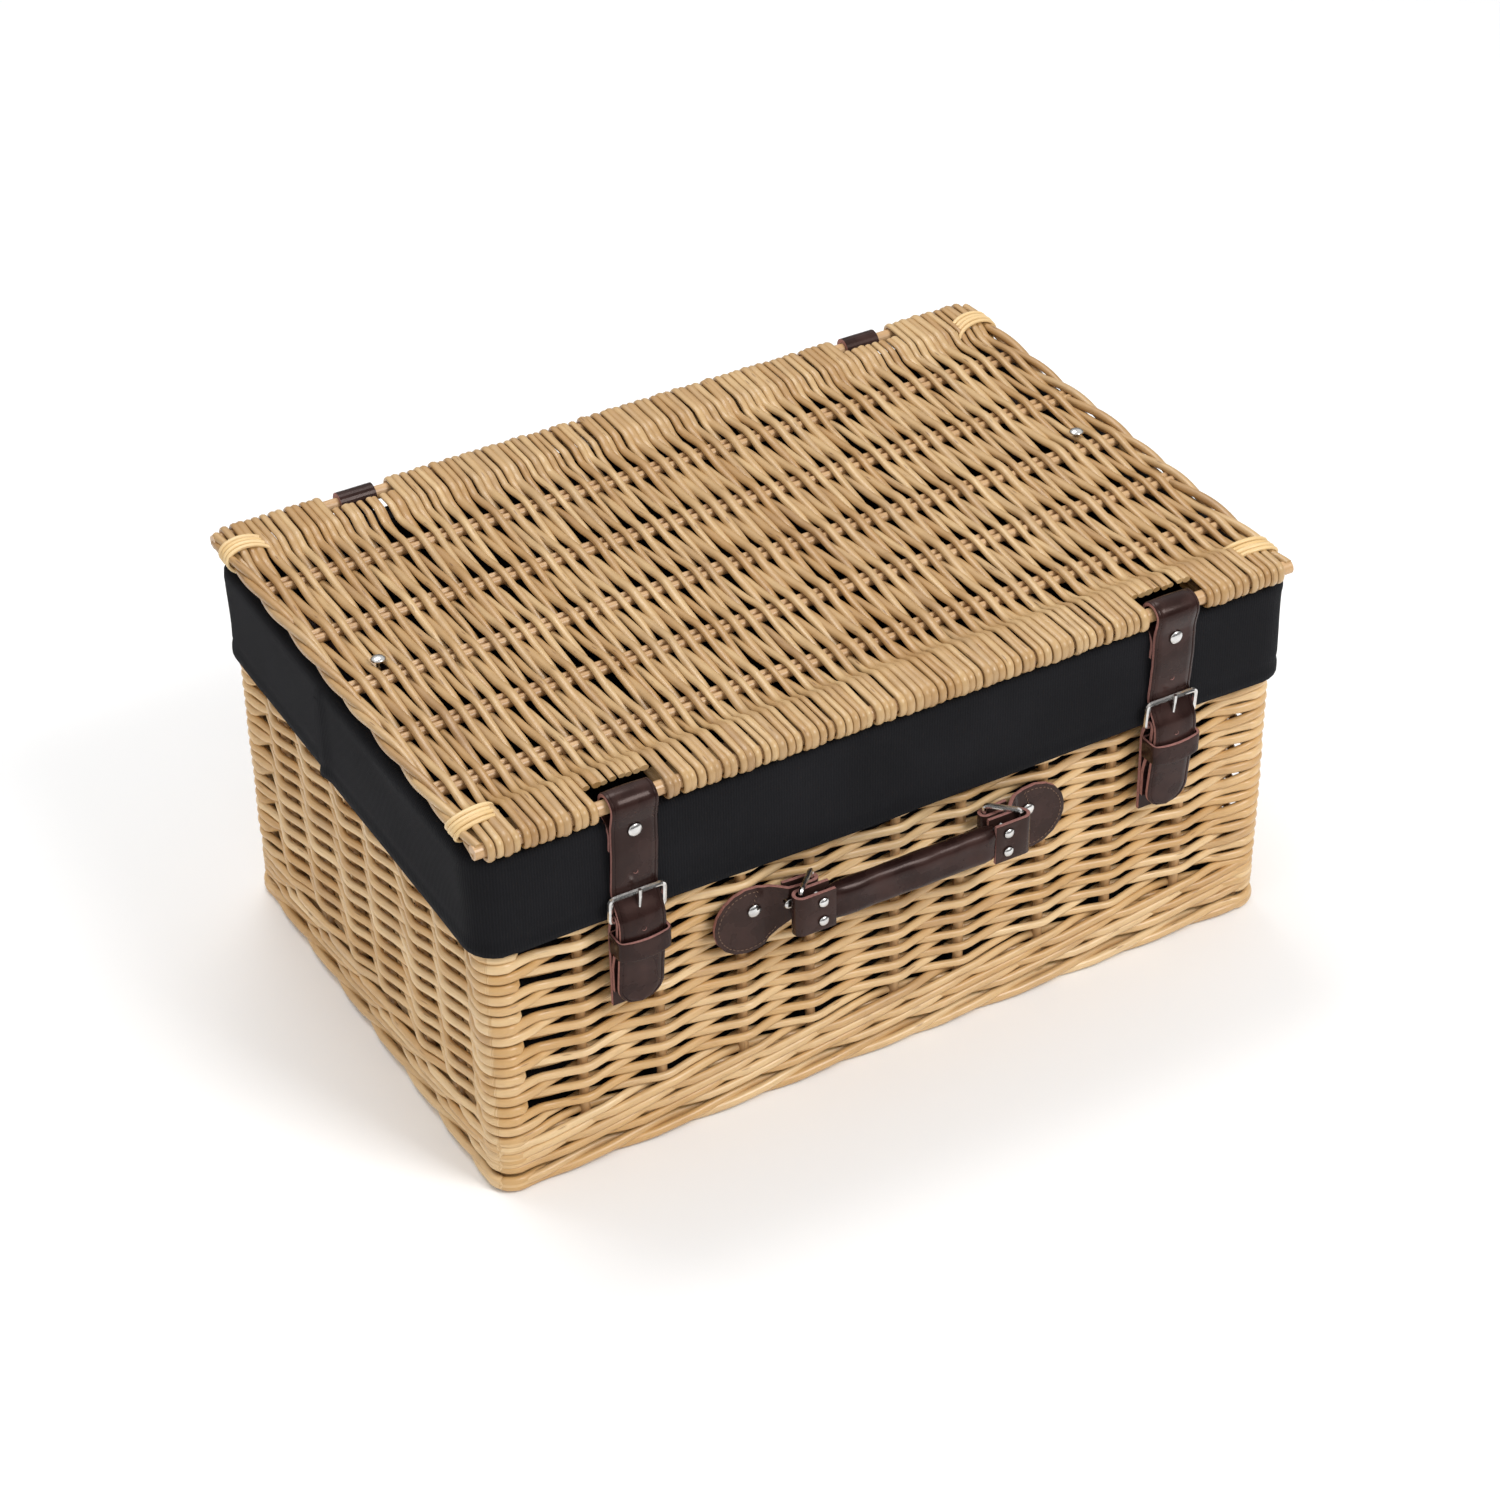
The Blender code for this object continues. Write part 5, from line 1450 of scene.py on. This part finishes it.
def grip_roll():
    """The padded roll between the end tabs, full along its middle and pinched into each tab."""
    low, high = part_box("handle_grip")
    centre = (low + high) / 2
    half = (high - low) / 2
    work = bmesh.new()
    sides = 40
    full = half.x - 13 * MM
    stations = [(-half.x, 0.4, 0.8), (-full - 1 * MM, 0.44, 0.84), (-full, 0.62, 0.9)]
    stations += [(-full + 3 * MM, 0.86, 0.97), (-full + 8 * MM, 0.99, 1.0)]
    count = 36
    run = full - 14 * MM
    stations += [(run * (2 * i / count - 1), 1.0, 1.0) for i in range(count + 1)]
    stations += [(-x, thick, tall) for x, thick, tall in reversed(stations[:5])]
    rings = []
    for x, thick, tall in stations:
        ring = []
        swell = 1 + 0.05 * math.sin(x / MM * 0.13 + 0.8) + 0.03 * math.sin(x / MM * 0.31)
        for i in range(sides):
            a = 2 * math.pi * i / sides
            c, v = math.cos(a), math.sin(a)
            y = math.copysign(abs(c) ** 0.72, c) * half.y * thick * (swell if thick == 1.0 else 1.0)
            z = math.copysign(abs(v) ** 0.62, v) * half.z * tall
            if c < 0:
                y -= 0.5 * MM * thick * math.exp(-((v - 0.45) ** 2) / 0.05)
                y += 0.4 * MM * thick * math.exp(-((v + 0.05) ** 2) / 0.04)
            ring.append(work.verts.new((centre.x + x, centre.y + y, centre.z + z)))
        rings.append(ring)
    for first, second in zip(rings, rings[1:]):
        for i in range(sides):
            n = (i + 1) % sides
            work.faces.new((first[i], first[n], second[n], second[i]))
    work.faces.new(rings[0])
    work.faces.new(rings[-1])
    bmesh.ops.recalc_face_normals(work, faces=work.faces)
    piece = new_piece("padded_grip", work, PLAIN_HIDE)
    riding(piece, "handle", "brown_leather", "handle_grip")


for side in SIDES:
    closure(side)
    keeper(side)
    patch(side)
    end_tab(side)
    stay = f"lid_stay_{side}"
    piece = softened(stay, f"flexing_stay_{side}", PLAIN_HIDE, None, 0.3 * MM, 5 * MM)
    ends = (middle(f"stay_wall_rivet_{side}"), middle(f"stay_lid_rivet_{side}"))
    flexing(piece, stay, "basket", "lid", *ends)
grip_roll()

for node in [name for name in frame["nodes"] if "rivet" in name]:
    piece = softened(node, f"bright_{node}", NICKEL, None, 0)
    piece.data.set_sharp_from_angle(angle=math.radians(65))
    riding(piece, body_of(node), "bright_nickel", node)

# Leather and metal keep their own solids

for name, piece in frame["nodes"].items():
    if piece.hide_render:
        continue
    if name.startswith(("hinge_strap", "buckle_tab")):
        finish = STRAP_HIDE
    elif "stick" in name:
        finish = STICK_WILLOW
    elif name in ("base_panel", "rim_border"):
        finish = BODY_WILLOW
    else:
        finish = NICKEL
    piece.data.materials.clear()
    piece.data.materials.append(finish)

# Camera, light and floor

YAW, PITCH, ROLL = math.radians(-29.07), math.radians(36.52), math.radians(-1.03)
LENS = 89.5  # mm, on a sensor 36 mm wide
LOOKS_AT = Vector((-0.0001, 0, 0.1054))
DISTANCE = 2.165
ahead = Vector((-math.sin(YAW) * math.cos(PITCH), math.cos(YAW) * math.cos(PITCH), -math.sin(PITCH)))
right = Vector((math.cos(YAW), math.sin(YAW), 0))
up = right.cross(ahead)
right, up = (
    right * math.cos(ROLL) + up * math.sin(ROLL),
    up * math.cos(ROLL) - right * math.sin(ROLL),
)
camera_data = bpy.data.cameras.new("camera")
camera_data.lens = LENS
camera_data.sensor_width = 36
camera = placed("camera", camera_data)
turned = Matrix((right, up, -ahead)).transposed().to_4x4()
camera.matrix_world = Matrix.Translation(LOOKS_AT - ahead * DISTANCE) @ turned
bpy.context.scene.camera = camera

floor_mesh = bpy.data.meshes.new("floor")
floor_mesh.from_pydata([(-6, -6, 0), (6, -6, 0), (6, 6, 0), (-6, 6, 0)], [], [(0, 1, 2, 3)])
floor = placed("floor", floor_mesh)
paper, _, _ = new_material("paper", Base_Color=(0.95, 0.95, 0.95, 1), Roughness=0.9)
floor_mesh.materials.append(paper)

ROOM_LIGHT = 0.56
world = bpy.data.worlds.new("studio")
world.use_nodes = True
sky = world.node_tree
sky.nodes["Background"].inputs["Color"].default_value = (1, 1, 1, 1)
upward = put(sky, "ShaderNodeTexCoord").outputs["Generated"]
height = put(sky, "ShaderNodeSeparateXYZ", {0: upward}).outputs[2]
mirrored = Field(sky, put(sky, "ShaderNodeLightPath").outputs["Is Glossy Ray"])
glow = Field(sky, height).spread(0.1, 0.6, 0.1, 0.9)  # gloss shows dim walls under a bright ceiling
strength = (glow - ROOM_LIGHT) * mirrored + ROOM_LIGHT
sky.links.new(strength.socket, sky.nodes["Background"].inputs["Strength"])
bpy.context.scene.world = world


def softbox(name, at, size, power):
    """A rectangular lamp turned to the basket's middle."""
    light = bpy.data.lights.new(name, "AREA")
    light.energy = power
    light.shape = "RECTANGLE"
    light.size, light.size_y = size
    lamp = placed(name, light)
    lamp.location = at
    lamp.rotation_euler = (Vector((0, 0, 0.12)) - Vector(at)).to_track_quat("-Z", "Y").to_euler()


softbox("key", (0.7, -1.6, 1.9), (0.9, 0.9), 34)
softbox("overhead", (-0.2, 0.9, 2.2), (1.6, 0.9), 26)
softbox("fill", (-2.0, -0.6, 1.0), (1.0, 1.0), 5)
bpy.context.scene.view_settings.view_transform = "Standard"

bpy.context.view_layer.update()
